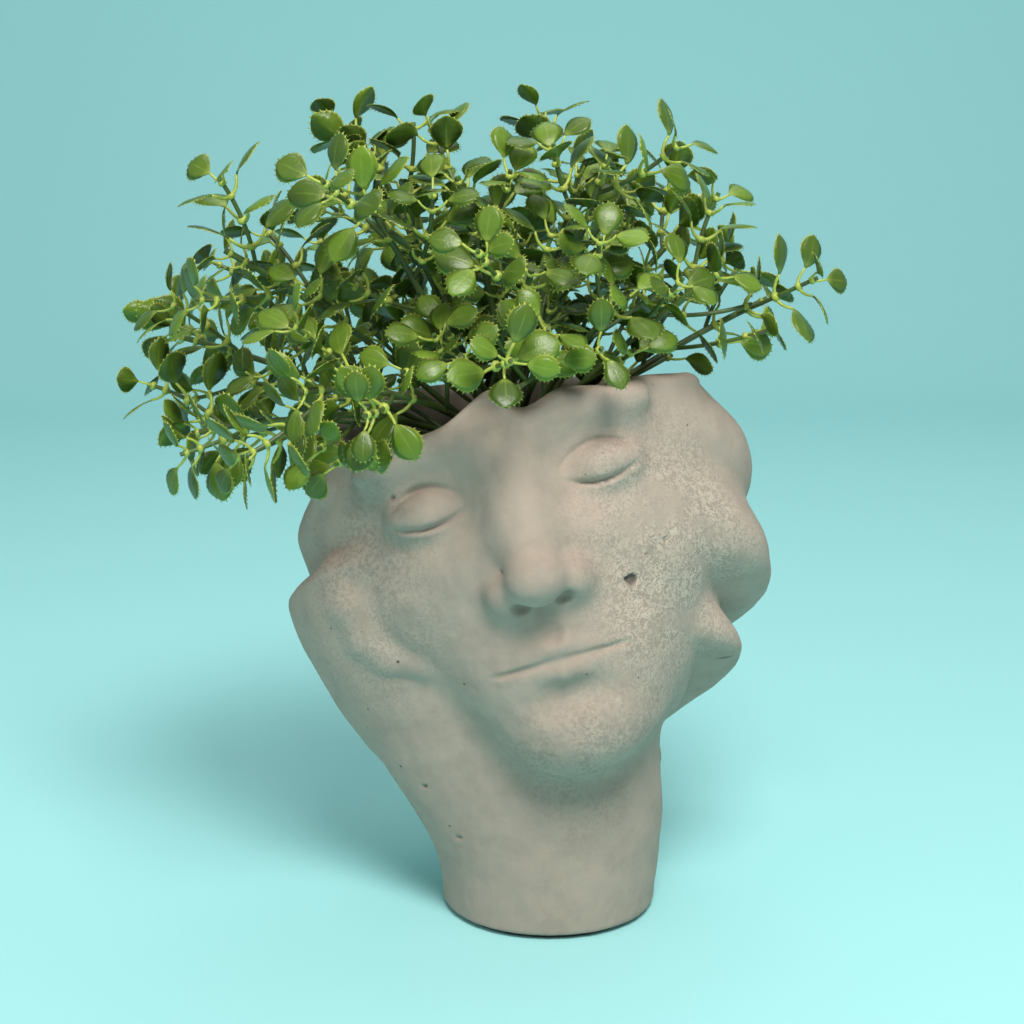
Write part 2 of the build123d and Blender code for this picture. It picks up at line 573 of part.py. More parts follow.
class Foliage:
    """Grows side shoots and leaf pairs on the branches and keeps them from crossing."""

    def __init__(self, lines):
        self.lines = lines
        self.model = pair_samples()
        self.skin = np.concatenate([row for rows in skin_rows() for row in rows])
        self.stems = [(i, line_.samples(BARE_L / 2, 1.2 * STEM_R)) for i, line_ in enumerate(lines)]
        self.pairs = []
        self.shoots = [[] for _ in lines]
        self.leaves = [[] for _ in lines]

    def near_stems(self, points, skip, room):
        """Whether points come too near any stem but the skipped ones."""
        centre = points.mean(0)
        reach = np.linalg.norm(points - centre, axis=1).max() + room
        for key, stem in self.stems:
            if key in skip:
                continue
            stem = stem[np.linalg.norm(stem - centre, axis=1) < reach]
            if least_gap(points, stem) < room:
                return True
        return False

    def add_shoot(self, index, number, s, around, length):
        """Grow one side shoot if it has room."""
        point, way = self.lines[index].at(s)
        side = unit(np.cross(way, [0, 0, 1]))
        over = np.cross(side, way)
        out = side * cos(around) + over * sin(around)
        tilt = radians(SHOOT_TILT)
        start = way * cos(tilt) + out * sin(tilt)
        shoot = Arc(point, start, length, radians(SHOOT_CURL), way)
        samples = shoot.samples(4 * STEM_R, 1.2 * STEM_R)
        if self.near_stems(samples, (index,), 2 * STEM_R + STEM_ROOM) or not over_head(samples):
            return None
        own = self.lines[index].samples(0, 2 * STEM_R)
        own = own[np.linalg.norm(own - point, axis=1) > 6 * STEM_R]
        if least_gap(samples, own) < 2 * STEM_R:
            return None
        self.stems.append(((index, number), samples))
        self.shoots[index].append(shoot)
        return shoot

    def add_pair(self, index, key, arc, s, spin, step, bore):
        """Thread one leaf pair on a stem, turned or made smaller until it has room."""
        point, way = arc.at(s)
        first = unit(np.cross(way, [.3, .2, 1]))
        second = np.cross(way, first)
        reach = 2 * (LEAF_L + PETIOLE_L + COLLAR_R)
        skin = self.skin[np.linalg.norm(self.skin - point, axis=1) < reach]
        for attempt in range(PAIR_TRIES):
            angle = spin + (attempt // 2) * radians(PAIR_TRY)
            size_step = max(step - attempt % 2, 0)
            x = first * cos(angle) + second * sin(angle)
            frame = np.stack([x, np.cross(way, x), way])
            points = point + LEAF_SIZE_SHARES[size_step] * self.model @ frame
            if not over_head(points) or self.near_stems(points, (key,), STEM_R + STEM_ROOM):
                continue
            if least_gap(points, skin) < HEAD_ROOM:
                continue
            near = [q for c, q in self.pairs if np.linalg.norm(c - point) < reach]
            if near and least_gap(points, np.concatenate(near)) < LEAF_ROOM:
                continue
            self.pairs.append((point, points))
            self.leaves[index].append((point, x, way, size_step, bore))
            return

    def grow(self):
        """Side shoots first, then the leaf pairs from the tips inwards."""
        quarter = radians(PAIR_TURN)
        jobs = []
        for index, branch in enumerate(self.lines):
            tip = branch.length - COLLAR_H
            for node in range(int((branch.length - BARE_L) / NODE_GAP)):
                s = tip - (node + LAST_PAIR_SHARE) * NODE_GAP
                jobs.append((node + 1, index, index, branch, s, node % 2 * quarter + index, 2, STEM_R))
            for node, back in enumerate(TIP_PAIR_SHARES):
                jobs.append((node, index, index, branch, tip - back * NODE_GAP,
                             node * quarter + index, node, STEM_R))
            for number, share in enumerate(SHOOT_SHARES):
                s = branch.length - (number + LAST_SHOOT_SHARE) * NODE_GAP
                if s < BARE_L / 2:
                    continue
                for attempt in range(SHOOT_TRIES):
                    around = number * radians(SHOOT_TURN) + index + attempt * radians(SHOOT_TRY)
                    shoot = self.add_shoot(index, number, s, around, share * SHOOT_L)
                    if shoot:
                        break
                else:
                    continue
                for node, back in enumerate(SHOOT_PAIR_SHARES):
                    jobs.append((node, index, (index, number), shoot,
                                 shoot.length * (1 - back) - COLLAR_H,
                                 node * quarter + number, min(node, 2), SHOOT_R))
        for _, index, key, arc, s, spin, step, radius in sorted(jobs, key=lambda job: job[0]):
            self.add_pair(index, key, arc, s, spin, step, radius)


def branch_stem(line_, shoots):
    """A branch with its side shoots, moulded in one piece."""
    stem = line_.tube(STEM_R)
    for shoot in shoots:
        for seam in SEAMS:
            tube = shoot.tube(SHOOT_R, seam)
            joined = stem + tube
            if joined.volume > stem.volume + tube.volume / 2:
                break
        stem = joined
    return stem


def branch_leaves(places, masters):
    """The leaf pairs threaded on one branch."""
    pairs = []
    for point, x, way, step, radius in places:
        place = Plane(origin=Vector(*point), x_dir=Vector(*x), z_dir=Vector(*way))
        pairs.append(masters[step, radius].moved(Location(place)))
    return Compound(children=pairs)


def main():
    os.makedirs("parts", exist_ok=True)
    lines = branch_lines()
    foliage = Foliage(lines)
    foliage.grow()
    masters = {}
    for radius in (STEM_R, SHOOT_R):
        for step, size in enumerate(LEAF_SIZE_SHARES):
            masters[step, radius] = leaf_pair(size, radius + SOCKET_FIT).solid()
    nodes = {
        "planter_head": planter_head(),
        "foot_pad": foot_pad(),
        "foam_plug": foam_plug(),
        "soil_dressing": soil_dressing(),
        "bush_stalk": bush_stalk(lines),
    }
    for i, line_ in enumerate(lines):
        nodes[f"branch_{i + 1:02d}_stem"] = branch_stem(line_, foliage.shoots[i])
        nodes[f"branch_{i + 1:02d}_leaves"] = branch_leaves(foliage.leaves[i], masters)
    for name, shape in nodes.items():
        export_step(shape, f"parts/{name}.step")
    print("leaf pairs", sum(len(each) for each in foliage.leaves),
          "side shoots", sum(len(each) for each in foliage.shoots))


main()
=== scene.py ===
"""Looks of the head planter: a concrete head on a round neck with a lift-out bush of foliage.

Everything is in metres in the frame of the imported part: +Z is up, the face looks along -Y, and
+X is on the viewer's right. Shapes are worked out in millimetres and scaled by MM at the end.
"""
import math

import bpy
import numpy as np
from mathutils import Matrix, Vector


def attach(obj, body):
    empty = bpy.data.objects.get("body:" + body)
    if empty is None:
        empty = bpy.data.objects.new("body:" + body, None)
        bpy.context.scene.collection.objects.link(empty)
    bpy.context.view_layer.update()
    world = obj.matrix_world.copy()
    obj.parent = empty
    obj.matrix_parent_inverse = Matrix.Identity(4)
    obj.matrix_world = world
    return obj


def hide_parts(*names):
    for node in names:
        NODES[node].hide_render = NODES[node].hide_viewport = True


bl_info = {
    "name": "Head planter",
    "version": (1, 0, 0),
    "blender": (4, 2, 0),
    "location": "3D View > Sidebar > Planter",
    "description": "Builds a concrete head planter with a bush of moulded foliage",
    "category": "Object",
}

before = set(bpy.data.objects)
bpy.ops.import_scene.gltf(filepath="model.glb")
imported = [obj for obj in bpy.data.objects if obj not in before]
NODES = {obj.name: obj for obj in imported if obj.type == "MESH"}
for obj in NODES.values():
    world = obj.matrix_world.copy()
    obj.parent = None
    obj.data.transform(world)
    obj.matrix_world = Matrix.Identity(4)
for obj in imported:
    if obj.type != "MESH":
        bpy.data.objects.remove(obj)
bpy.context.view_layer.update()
MM = 0.001
pi = math.pi

# Sizes of the casting, in millimetres
FACE_H = 100.0
RIM_H = 155.5
FOOT_R = 30.6
LEAN, NOD = 16.0, 13.0
WALL = 8.5
LIP_H = 3.4
FOOT_EDGE = 0.9
CAVITY_FLOOR = 44.0
CAVITY_FOOT_R = 20.0
CAVITY_X = CAVITY_Y = 41.0
CAVITY_LEFT, CAVITY_BACK = 7.5, 15.5
CAVITY_POWER = 1.7
MOUTH_FLARE = 24.0
PAD_T = 1.4

# Forms of the face, in shares of FACE_H from the chin: across, up and forward.
# Each row: add or cut, one or a pair, the shape, and how softly it joins the forms above.
CHIN_SHARES = (0.13, -0.07, 0.50)
FACE_SHARES = (
    ("add", "one", ((0, .76, -.04), (.53, .62, .56)), 0),                  # skull
    ("add", "one", ((0, .46, .06), (.44, .46, .38)), .16),                 # jaw
    ("add", "one", ((0, .12, .27), (.20, .14, .15)), .18),                 # chin's base
    ("add", "pair", ((.32, .58, .20), (.17, .15, .14)), .14),              # cheekbones
    ("add", "pair", ((.18, .93, .385), (.24, .06, .09)), .12),             # brow
    ("cut", "pair", ((.24, .79, .56), (.16, .11, .10)), .12),              # eye sockets
    ("add", "pair", ((.245, .775, .372), (.125, .088, .105)), .03),        # closed lids
)
NOSE_SHARES = (
    ("add", "one", ((0, .92, .42), (0, .54, .57), .045, .06), .12),        # bridge
    ("add", "one", ((0, .52, .58), (.075, .06, .07)), .05),                # tip
    ("add", "pair", ((.095, .50, .49), (.055, .055, .07)), .05),           # wings
    ("cut", "pair", ((.055, .462, .535), (.026, .022, .036)), .02),        # nostrils
    ("add", "one", ((0, .31, .33), (.22, .15, .13)), .14),                 # round of the mouth
)
MOUTH_SHARES = (
    ("add", "pair", ((.026, .336, .474), (.185, .303, .426), .031, .014), 0),
    ("add", "one", ((0, .331, .476), (.01, .332, .476), .029, .029), .015),
    ("add", "one", ((0, .260, .462), (.04, .261, .460), .040, .039), .006),
    ("add", "pair", ((0, .260, .462), (.160, .284, .427), .040, .018), .004),
)
MOUTH_JOIN_SHARE = .016
CHIN_FORM_SHARES = (
    # mouth line, fold under the lip, groove over the lip, chin
    ("cut", "pair", ((0, .298, .508), (.198, .296, .446), .0075, .007), .010),
    ("cut", "one", ((0, .180, .51), (.15, .05, .07)), .06),
    ("cut", "one", ((0, .375, .50), (0, .445, .52), .018, .012), .03),
    ("add", "one", ((0, .09, .35), (.13, .09, .09)), .10),
)
# Curved grooves of the lids: height in the middle, bow, width and depth
LID_SHARES = ((.735, .030, .0075, .019), (.845, -.055, .011, .016))
LID_MIDDLE_SHARE, LID_HALF_SHARE = .245, .115
NECK_JOIN_SHARE = .09
NECK_SHARES = ((0, 0, -.10), (.01, .03, .62), -.010, .015)
HAIR_JOIN_SHARE = .035
AXIS_TOP_SHARES = (-.06, .08)
SEARCH_SHARE, SEARCH_STEPS = .80, 40
SEARCH_STRIDE, SEARCH_END = .75, .01

# Outlines of the hair and neck: height in shares of FACE_H, and radius beyond FOOT_R likewise
RIGHT_LINE_SHARES = ((0, 0), (.14, .020), (.30, .037), (.42, .030), (.52, .006), (.655, .105),
                     (.80, .19), (.90, .235), (1.05, .270), (1.24, .320), (1.42, .275),
                     (1.58, .150), (1.75, .08))
LEFT_LINE_SHARES = ((0, 0), (.17, .030), (.30, .092), (.42, .165), (.55, .230), (.70, .280),
                    (.82, .320), (.92, .340), (1.02, .345), (1.12, .350), (1.25, .325),
                    (1.42, .300), (1.60, .28), (1.75, .24))
BACK_LINE_SHARES = ((0, 0), (.15, .025), (.30, .095), (.45, .195), (.65, .295), (.90, .370),
                    (1.15, .385), (1.35, .355), (1.55, .275), (1.75, .20))
FRONT_LINE_SHARES = ((0, 0), (.20, .010), (.50, .020), (.80, .045), (1.2, .085), (1.75, .045))
RIGHT_NOTCH_SHARES = (.30, .50, .655, .875, 1.235, 1.70)
RIGHT_BULGE_SHARES = (0, .02, .115, .125, .035)
RIGHT_PEAK_SHARES = (.6, .7, .74, .72, .60)
LEFT_NOTCH_SHARES = (.10, .42, .99, 1.26, 1.56, 1.86)
LEFT_BULGE_SHARES = (0, .085, .030, .030, .03)
LEFT_PEAK_SHARES = (.6, .17, .55, .7, .7)
SWEEP_SHARE, SWAY_SHARE, BACK_SHARE, PARTING_SHARE = .46, .05, .55, .35
RISE_SHARES = (.12, .42)
LOCKS_BEGIN, LOCKS_FULL, SWEEP_BEGIN, CALM_BEGIN = 48.0, 74.0, 87.0, 110.0
PARTING_SPAN = 16.0
RIM_SHARES = ((-180, .955), (-140, .940), (-100, .910), (-72, .905), (-50, .925), (-32, .960),
              (-17, 1.022), (-5, .995), (12, 1.025), (32, 1.030), (60, 1.035), (90, 1.020),
              (120, .990), (150, .968), (180, .955))

# Raised strands at the left: ends and radii of each length, in shares of FACE_H
STRAND_SHARES = (
    ((-.580, -.106, 1.355), (-.625, -.095, 1.270), .024, .030),
    ((-.625, -.095, 1.270), (-.665, -.070, 1.195), .030, .024),
    ((-.600, -.150, 1.060), (-.562, -.172, .960), .046, .054),
    ((-.562, -.172, .960), (-.515, -.180, .865), .054, .050),
    ((-.515, -.180, .865), (-.448, -.196, .815), .050, .038),
    ((-.448, -.196, .815), (-.360, -.250, .800), .038, .020),
)
STRAND_JOIN_SHARE = .06

# Fineness of the casting's surface
AROUND = 320
ROWS_OUTSIDE, ROWS_LIP, ROWS_INSIDE = 250, 11, 30

# Open air bubbles in the casting: turn in degrees, height, half width, half height and depth
BUBBLES = (
    (30.4, 108.5, 2.0, 1.5, 1.5), (-46.8, 129.0, 0.9, 0.9, 0.8),
    (74.4, 78.5, 1.0, 0.8, 0.8), (-58.0, 43.0, 0.9, 0.7, 0.8),
    (42.8, 118.5, 0.8, 0.8, 0.6), (36.0, 115.0, 0.8, 0.7, 0.6),
    (-9.2, 113.0, 0.8, 0.8, 0.6), (-47.2, 28.5, 1.6, 0.7, 0.5),
)

# Relief of the casting and how ragged a bubble's edge is: strength, then what waves() takes
SKIN_WAVES = ((.10, 4, 30, 5, 16), (.03, 5, 30, 1.6, 4))
BUBBLE_EDGE = (.16, 9, 12, 1.5, 3)
BUBBLE_WALL = 1.25      # a bubble ends where its scaled distance squared reaches this
COLUMN_SHARES, ROW_SHARE = (.45, .55), .035     # how the columns crowd at the face, the rows midway

# Where the crust and the darker speckles lie: place, radius and soft edge in metres, and strength
CRUST_ZONES = (((.042, -.046, .128), .030, .020, 1), ((.046, -.042, .094), .026, .018, 1),
               ((.018, -.060, .070), .013, .014, 1), ((-.050, -.024, .090), .020, .022, .5))
SPECKLE_ZONES = (((.012, -.046, .052), .022, .018, 1), ((-.056, -.030, .112), .018, .022, 1))

# Noise in the concrete: blotches to the metre, detail and roughness
BLOTCHES, CLOUDS, NET, GRAIN = (26, 4, .6), (110, 5, .65), (560, 3, .62), (2600, 2, .7)
# Pinholes: cells to the metre, the share of them without a hole, and how holes grow past it
CELLS, WITHOUT_HOLE, HOLE_GROWTH = 210.0, .80, .42

# Foliage, in millimetres for a full-grown pair, as in the part
COLLAR_R, COLLAR_H = 1.55, 1.8
LEAF_L, LEAF_W, LEAF_T = 11.0, 9.6, 0.5
DOME_R = 13.0
PETIOLE_L, PETIOLE_R, PETIOLE_RISE, BLADE_RISE = 5.2, 0.5, 48.0, 20.0
PAIR_REACH = 15.327    # from the stem's middle to a blade's tip
STATIONS = 9           # rows of points along a blade
BLADE_LINES = (-1, -.55, 0, .55, 1)     # places across a blade, in shares of its half width
RIB_DEPTH, RIB_W = .22, .45
RIPPLE_H, RIPPLE_WAVE = .16, 9
TOOTH_SHARES = (.34, .46, .58, .70, .81, .905, .975)
TOOTH_HALF, TOOTH_LEAN, TOOTH_ROOT, TOOTH_KEEL = .016, .45, .25, .22
# How far leaves differ, in degrees: rise of the petiole, then tilt, roll and yaw of the blade
RISE_SPREAD, TILT_SPREAD, ROLL_SPREAD, YAW_SPREAD = (-7, 7), (-16, 14), (-22, 22), (-14, 14)
SIZE_UP, SIZE_SPREAD = 1.02, .06
TUBE_SIDES, TUBE_RINGS, COLLAR_SIDES = 5, 4, 8
PETIOLE_PALE, COLLAR_PALE = .5, .4
COLLAR_ROWS = ((.62, -.9), (1.35, -.7), (1.6, 0), (1.3, .75), (.62, .95))   # radius, height
COLLAR_HALF = 1.7      # a full-grown pair's corners nearer the stem than this are its collar's
DRESSING_LOW, DRESSING_HIGH = 116.0, 122.0
DRESSING_GRID, CRUMBS = (180, 34), (1.1, 12, 30, 2.2, 7)
STALK_PLACE, STALK_R = (-12.0, 4.0), 3.5

# Stage, in metres: floor, backdrop, lamps (place, share of the main light, size) and camera
FLOOR_FRONT, FLOOR_BACK, FLOOR_SIDE = -2.2, .9, 3.0
BEND_R, BEND_STEPS, BACKDROP_TOP = .5, 24, 3.0
SKY_COLOUR, SKY_STRENGTH = (.90, .91, .90, 1), .38
LAMPS = (("key", (.14, -.74, 1.08), 1, .45), ("fill", (-1.0, -.7, .6), .08, 1.0),
         ("top", (.1, .5, 1.3), .25, .9))
LAMP_COLOUR, LAMP_AIM = (1, .96, .91), (0, 0, .13)
CAMERA_PLACE, CAMERA_DOWN = (-.0109, -.5633, .2398), 12.1
CAMERA_LENS, CAMERA_SENSOR = 70.1, 36.0


# ---------------------------------------------------------------- shader expressions

class Link:
    """A node's output that takes part in plain arithmetic. Each operator adds its Math node."""

    def __init__(self, finish, socket):
        self.finish, self.socket = finish, socket

    def maths(self, operation, *values):
        """This value first, then the others, through one Math node."""
        inputs = dict(enumerate((self,) + values))
        return self.finish.node("ShaderNodeMath", {"operation": operation}, inputs)

    def __add__(self, other):
        return self.maths("ADD", other)

    __radd__ = __add__

    def __sub__(self, other):
        return self.maths("SUBTRACT", other)

    def __rsub__(self, other):
        return self.maths("MULTIPLY", -1.0) + other

    def __mul__(self, other):
        return self.maths("MULTIPLY", other)

    __rmul__ = __mul__

    def __abs__(self):
        return self.maths("ABSOLUTE")

    def step(self, low, high):
        """0 below low, 1 above high, with a smooth rise between them."""
        return self.finish.node("ShaderNodeMapRange", {"interpolation_type": "SMOOTHSTEP"},
                                {"Value": self, "From Min": low, "From Max": high})


class Finish:
    """A material, and the one method that adds its nodes."""

    def __init__(self, name, colour, roughness, **uniform):
        self.material = bpy.data.materials.new(name)
        self.material.use_nodes = True
        self.tree = self.material.node_tree
        self.shader = next(n for n in self.tree.nodes if n.type == "BSDF_PRINCIPLED")
        self.set("Base Color", (*colour, 1.0))
        self.set("Roughness", roughness)
        for socket, value in uniform.items():
            self.set(socket.replace("_", " ").title().replace("Ior", "IOR"), value)
        self.place = self.node("ShaderNodeTexCoord", output="Object")

    def set(self, socket, value):
        """Give the shader's own socket a value or a link."""
        self.fill(self.shader.inputs[socket], value)

    def fill(self, socket, value):
        """Give any socket a value or a link."""
        if isinstance(value, Link):
            self.tree.links.new(value.socket, socket)
        else:
            socket.default_value = value

    def node(self, kind, settings=None, inputs=None, output=0):
        """Add a node: its settings or a ramp's stops first, then its sockets."""
        node = self.tree.nodes.new(kind)
        for key, value in (settings or {}).items():
            if key == "stops":
                for i, (share, colour) in enumerate(value):
                    stops = node.color_ramp.elements
                    stop = stops[i] if i < len(stops) else stops.new(share)
                    stop.position, stop.color = share, (*colour, 1.0)
            else:
                setattr(node, key, value)
        for key, value in (inputs or {}).items():
            self.fill(node.inputs[key], value)
        return Link(self, node.outputs[output])

    def noise(self, per_metre, detail=3.0, rough=.5, place=None, warp=0.0):
        """Noise from 0 to 1 with so many blotches to the metre."""
        return self.node("ShaderNodeTexNoise", None, {
            "Vector": place or self.place, "Scale": per_metre, "Detail": detail,
            "Roughness": rough, "Distortion": warp})

    def mix(self, share, first, second):
        """Colour between two colours."""
        first, second = ((*c, 1.0) if isinstance(c, tuple) else c for c in (first, second))
        return self.node("ShaderNodeMix", {"data_type": "RGBA"},
                         {0: share, 6: first, 7: second}, output=2)

    def ball(self, centre, radius, soft):
        """1 inside a ball on the object, falling to 0 over its soft edge, in metres."""
        gap = self.node("ShaderNodeVectorMath", {"operation": "DISTANCE"},
                        {0: self.place, 1: centre}, output="Value")
        return 1 - gap.step(radius - soft, radius + soft)

    def zones(self, rows):
        """Sum of soft balls, each times its own share."""
        return sum(self.ball(centre, radius, soft) * share for centre, radius, soft, share in rows)

    def bump(self, height, depth):
        """Raise the surface by height times depth, in metres."""
        self.set("Normal", self.node("ShaderNodeBump", None,
                                     {"Height": height, "Distance": depth, "Strength": 1.0}))


# ---------------------------------------------------------------- meshes

def new_piece(name, points, faces, body, finish, replaced=()):
    """Put arrays of points in millimetres and faces into a piece that rides on a body."""
    mesh = bpy.data.meshes.new(name)
    mesh.from_pydata((np.asarray(points) * MM).tolist(), [], faces)
    mesh.update()
    mesh.polygons.foreach_set("use_smooth", np.ones(len(mesh.polygons), bool))
    mesh.materials.append(finish)
    piece = bpy.data.objects.new(name, mesh)
    bpy.context.scene.collection.objects.link(piece)
    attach(piece, body)
    if replaced:
        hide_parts(*replaced)
    return piece


def ring_faces(rows, around, capped):
    """Quads between neighbouring rows of a closed grid, and fans to two end points after it."""
    i, j = np.meshgrid(np.arange(rows - 1), np.arange(around), indexing="ij")
    k = (j + 1) % around
    quads = np.stack([i * around + j, i * around + k, (i + 1) * around + k,
                      (i + 1) * around + j], -1).reshape(-1, 4).tolist()
    if not capped:
        return quads
    j = np.arange(around)
    k, low, high = (j + 1) % around, rows * around, (rows - 1) * around
    first = np.stack([0 * j + low, k, j], -1).tolist()
    last = np.stack([0 * j + low + 1, high + j, high + k], -1).tolist()
    return quads + first + last


def waves(points, seed, count, shortest, longest):
    """Smooth random relief about 0: a sum of plane waves of random lengths and directions."""
    dice = np.random.default_rng(seed)
    total = np.zeros(points.shape[:-1])
    for _ in range(count):
        way = dice.normal(size=3)
        way *= 2 * pi / dice.uniform(shortest, longest) / np.linalg.norm(way)
        total += np.sin(points @ way + dice.uniform(0, 2 * pi))
    return total / math.sqrt(count)


def store(piece, name, values):
    """Give each point of a piece a number that its material reads by name."""
    piece.data.attributes.new(name, "FLOAT", "POINT").data.foreach_set("value", values)


# ---------------------------------------------------------------- the casting

def smin(a, b, soft):
    """Union of two distance fields: the lesser, lowered by (soft - |a - b|)^2 / 4 soft."""
    if soft <= 0:
        return np.minimum(a, b)
    h = np.maximum(soft - np.abs(a - b), 0) / soft
    return np.minimum(a, b) - h * h * soft / 4


def ball(p, centre, radii):
    """Distance to an ellipsoid: k (k - 1) / |gradient|, where k is the scaled radius."""
    radii = np.asarray(radii, float)
    q = p - np.asarray(centre, float)
    near = np.sqrt(np.sum((q / radii) ** 2, -1))
    slope = np.sqrt(np.sum((q / radii ** 2) ** 2, -1)) + 1e-9
    return near * (near - 1) / slope


def bar(p, start, end, r_start, r_end):
    """Distance to the line from start to end, less a radius that tapers along it."""
    start, end = np.asarray(start, float), np.asarray(end, float)
    run = end - start
    along = np.clip(((p - start) @ run) / (run @ run), 0, 1)
    gap = p - start - along[..., None] * run
    return np.sqrt(np.sum(gap ** 2, -1)) - (r_start + (r_end - r_start) * along)


def add_forms(distance, q, forms):
    """Join the rows of a table of forms to a distance field, in order."""
    mirrored = np.stack([np.abs(q[..., 0]), q[..., 1], q[..., 2]], -1)
    for action, count, shape, soft in forms:
        place = mirrored if count == "pair" else q
        new = ball(place, *shape) if len(shape) == 2 else bar(place, *shape)
        if distance is None:
            distance = new
        elif action == "add":
            distance = smin(distance, new, soft)
        else:
            distance = -smin(-distance, new, soft)
    return distance


def head_axes():
    """Directions across, up and forward of the leaning head."""
    lean, nod = math.radians(LEAN), math.radians(NOD)
    cl, sl, cn, sn = math.cos(lean), math.sin(lean), math.cos(nod), math.sin(nod)
    across, up = np.array([cl, 0, sl]), np.array([-cn * sl, sn, cn * cl])
    return across, up, np.array([-sn * sl, -cn, sn * cl])


def face_distance(p):
    """Distance to the face, neck and raised strands in shares of FACE_H: soft unions."""
    p = p / FACE_H
    q = p - np.array(CHIN_SHARES)
    q = np.stack([q @ axis for axis in head_axes()], -1)
    d = add_forms(None, q, FACE_SHARES)
    lid = (np.abs(q[..., 0]) - LID_MIDDLE_SHARE) / LID_HALF_SHARE
    for height, bow, width, depth in LID_SHARES:
        near = np.exp(-((q[..., 1] - height - bow * lid ** 2) / width) ** 2)
        d = d + depth * near * np.clip(1 - lid ** 2, 0, 1) * (q[..., 2] > .2)
    d = add_forms(d, q, NOSE_SHARES)
    d = smin(d, add_forms(None, q, MOUTH_SHARES), MOUTH_JOIN_SHARE)
    d = add_forms(d, q, CHIN_FORM_SHARES)
    low, high, r_low, r_high = NECK_SHARES
    neck = bar(p, low, high, r_low + FOOT_R / FACE_H, r_high + FOOT_R / FACE_H)
    d = smin(d, neck, NECK_JOIN_SHARE)
    for strand in STRAND_SHARES:
        d = smin(d, bar(p, *strand), STRAND_JOIN_SHARE)
    return d


def line(x, points):
    """Cubic line through given points, with averaged slopes at each."""
    xs, ys = np.array(points, float).T
    slopes = np.gradient(ys, xs)
    i = np.clip(np.searchsorted(xs, x) - 1, 0, len(xs) - 2)
    h = xs[i + 1] - xs[i]
    t = np.clip((x - xs[i]) / h, 0, 1)
    rise = ys[i] * (1 + 2 * t) * (1 - t) ** 2 + ys[i + 1] * t * t * (3 - 2 * t)
    return rise + h * (slopes[i] * t * (1 - t) ** 2 + slopes[i + 1] * t * t * (t - 1))


def ease(x):
    """0 to 1 with level ends: 3 x^2 - 2 x^3."""
    x = np.clip(x, 0, 1)
    return x * x * (3 - 2 * x)


def lock_relief(z, notches, bulges, peaks):
    """Locks at a height: a squared sine swell down from each notch, then a cosine tuck."""
    notches = np.array(notches)
    k = np.clip(np.searchsorted(notches, z) - 1, 0, len(notches) - 2)
    down = np.clip((notches[k + 1] - z) / (notches[k + 1] - notches[k]), 0, 1)
    peak = np.array(peaks)[k]
    swell = np.sin(pi / 2 * np.clip(down / peak, 0, 1)) ** 2
    tuck = np.cos(pi / 2 * np.clip((down - peak) / (1 - peak), 0, 1))
    return np.array(bulges)[k] * np.where(down < peak, swell, tuck)


def hair_radius(turn, z):
    """Radius of the hair and neck about the head's axis: an oval of two outlines, with locks."""
    z = z / FACE_H
    right = np.sin(turn) >= 0
    side = np.where(right, line(z, RIGHT_LINE_SHARES), line(z, LEFT_LINE_SHARES))
    ends = np.where(np.cos(turn) >= 0, line(z, FRONT_LINE_SHARES), line(z, BACK_LINE_SHARES))
    side, ends = side + FOOT_R / FACE_H, ends + FOOT_R / FACE_H
    plain = 1 / np.sqrt((np.sin(turn) / side) ** 2 + (np.cos(turn) / ends) ** 2)
    away = np.degrees(np.abs(turn))
    sweep = np.clip((away - SWEEP_BEGIN) / (180 - SWEEP_BEGIN), -.3, 1)
    run = z + SWEEP_SHARE * sweep + SWAY_SHARE * np.sin(2 * pi * sweep)
    relief = np.where(right,
                      lock_relief(run, RIGHT_NOTCH_SHARES, RIGHT_BULGE_SHARES, RIGHT_PEAK_SHARES),
                      lock_relief(run, LEFT_NOTCH_SHARES, LEFT_BULGE_SHARES, LEFT_PEAK_SHARES))
    relief = relief * ease((away - LOCKS_BEGIN) / (LOCKS_FULL - LOCKS_BEGIN))
    calm = np.clip((away - CALM_BEGIN) / (180 - CALM_BEGIN), 0, 1)
    relief = relief * (1 - (1 - BACK_SHARE) * calm)
    relief = relief * (PARTING_SHARE + (1 - PARTING_SHARE) * ease((180 - away) / PARTING_SPAN))
    low, high = RISE_SHARES
    return (plain + relief * ease((z - low) / (high - low))) * FACE_H


def rim_height(turn):
    """Height of the cut rim at each turn from the front."""
    return RIM_H * line(np.degrees(turn), RIM_SHARES)


def rays(turn, z):
    """Start and direction of the level rays from the head's axis, which moves with height."""
    s = ease(z / RIM_H)
    x, y = AXIS_TOP_SHARES
    start = np.stack([x * FACE_H * s, y * FACE_H * s, z], -1)
    return start, np.stack([np.sin(turn), -np.cos(turn), 0 * turn], -1)


def march(distance, start, way, r):
    """Walk in along each ray by three quarters of the distance until the surface is met."""
    for _ in range(SEARCH_STEPS):
        gap = distance(start + way * r[..., None]) * FACE_H
        r = np.maximum(r - SEARCH_STRIDE * gap, 0)
        if np.abs(gap).max() < SEARCH_END:
            break
    return r


def outer_radius(turn, z):
    """Radius of the outside along each ray: the face, softly joined to the hair."""
    start, way = rays(turn, z)
    face = np.zeros(turn.shape)
    front = np.cos(turn) > -.5
    r = np.full(front.sum(), SEARCH_SHARE * FACE_H)
    face[front] = march(face_distance, start[front], way[front], r)
    return -smin(-face, -hair_radius(turn, z), HAIR_JOIN_SHARE * FACE_H)


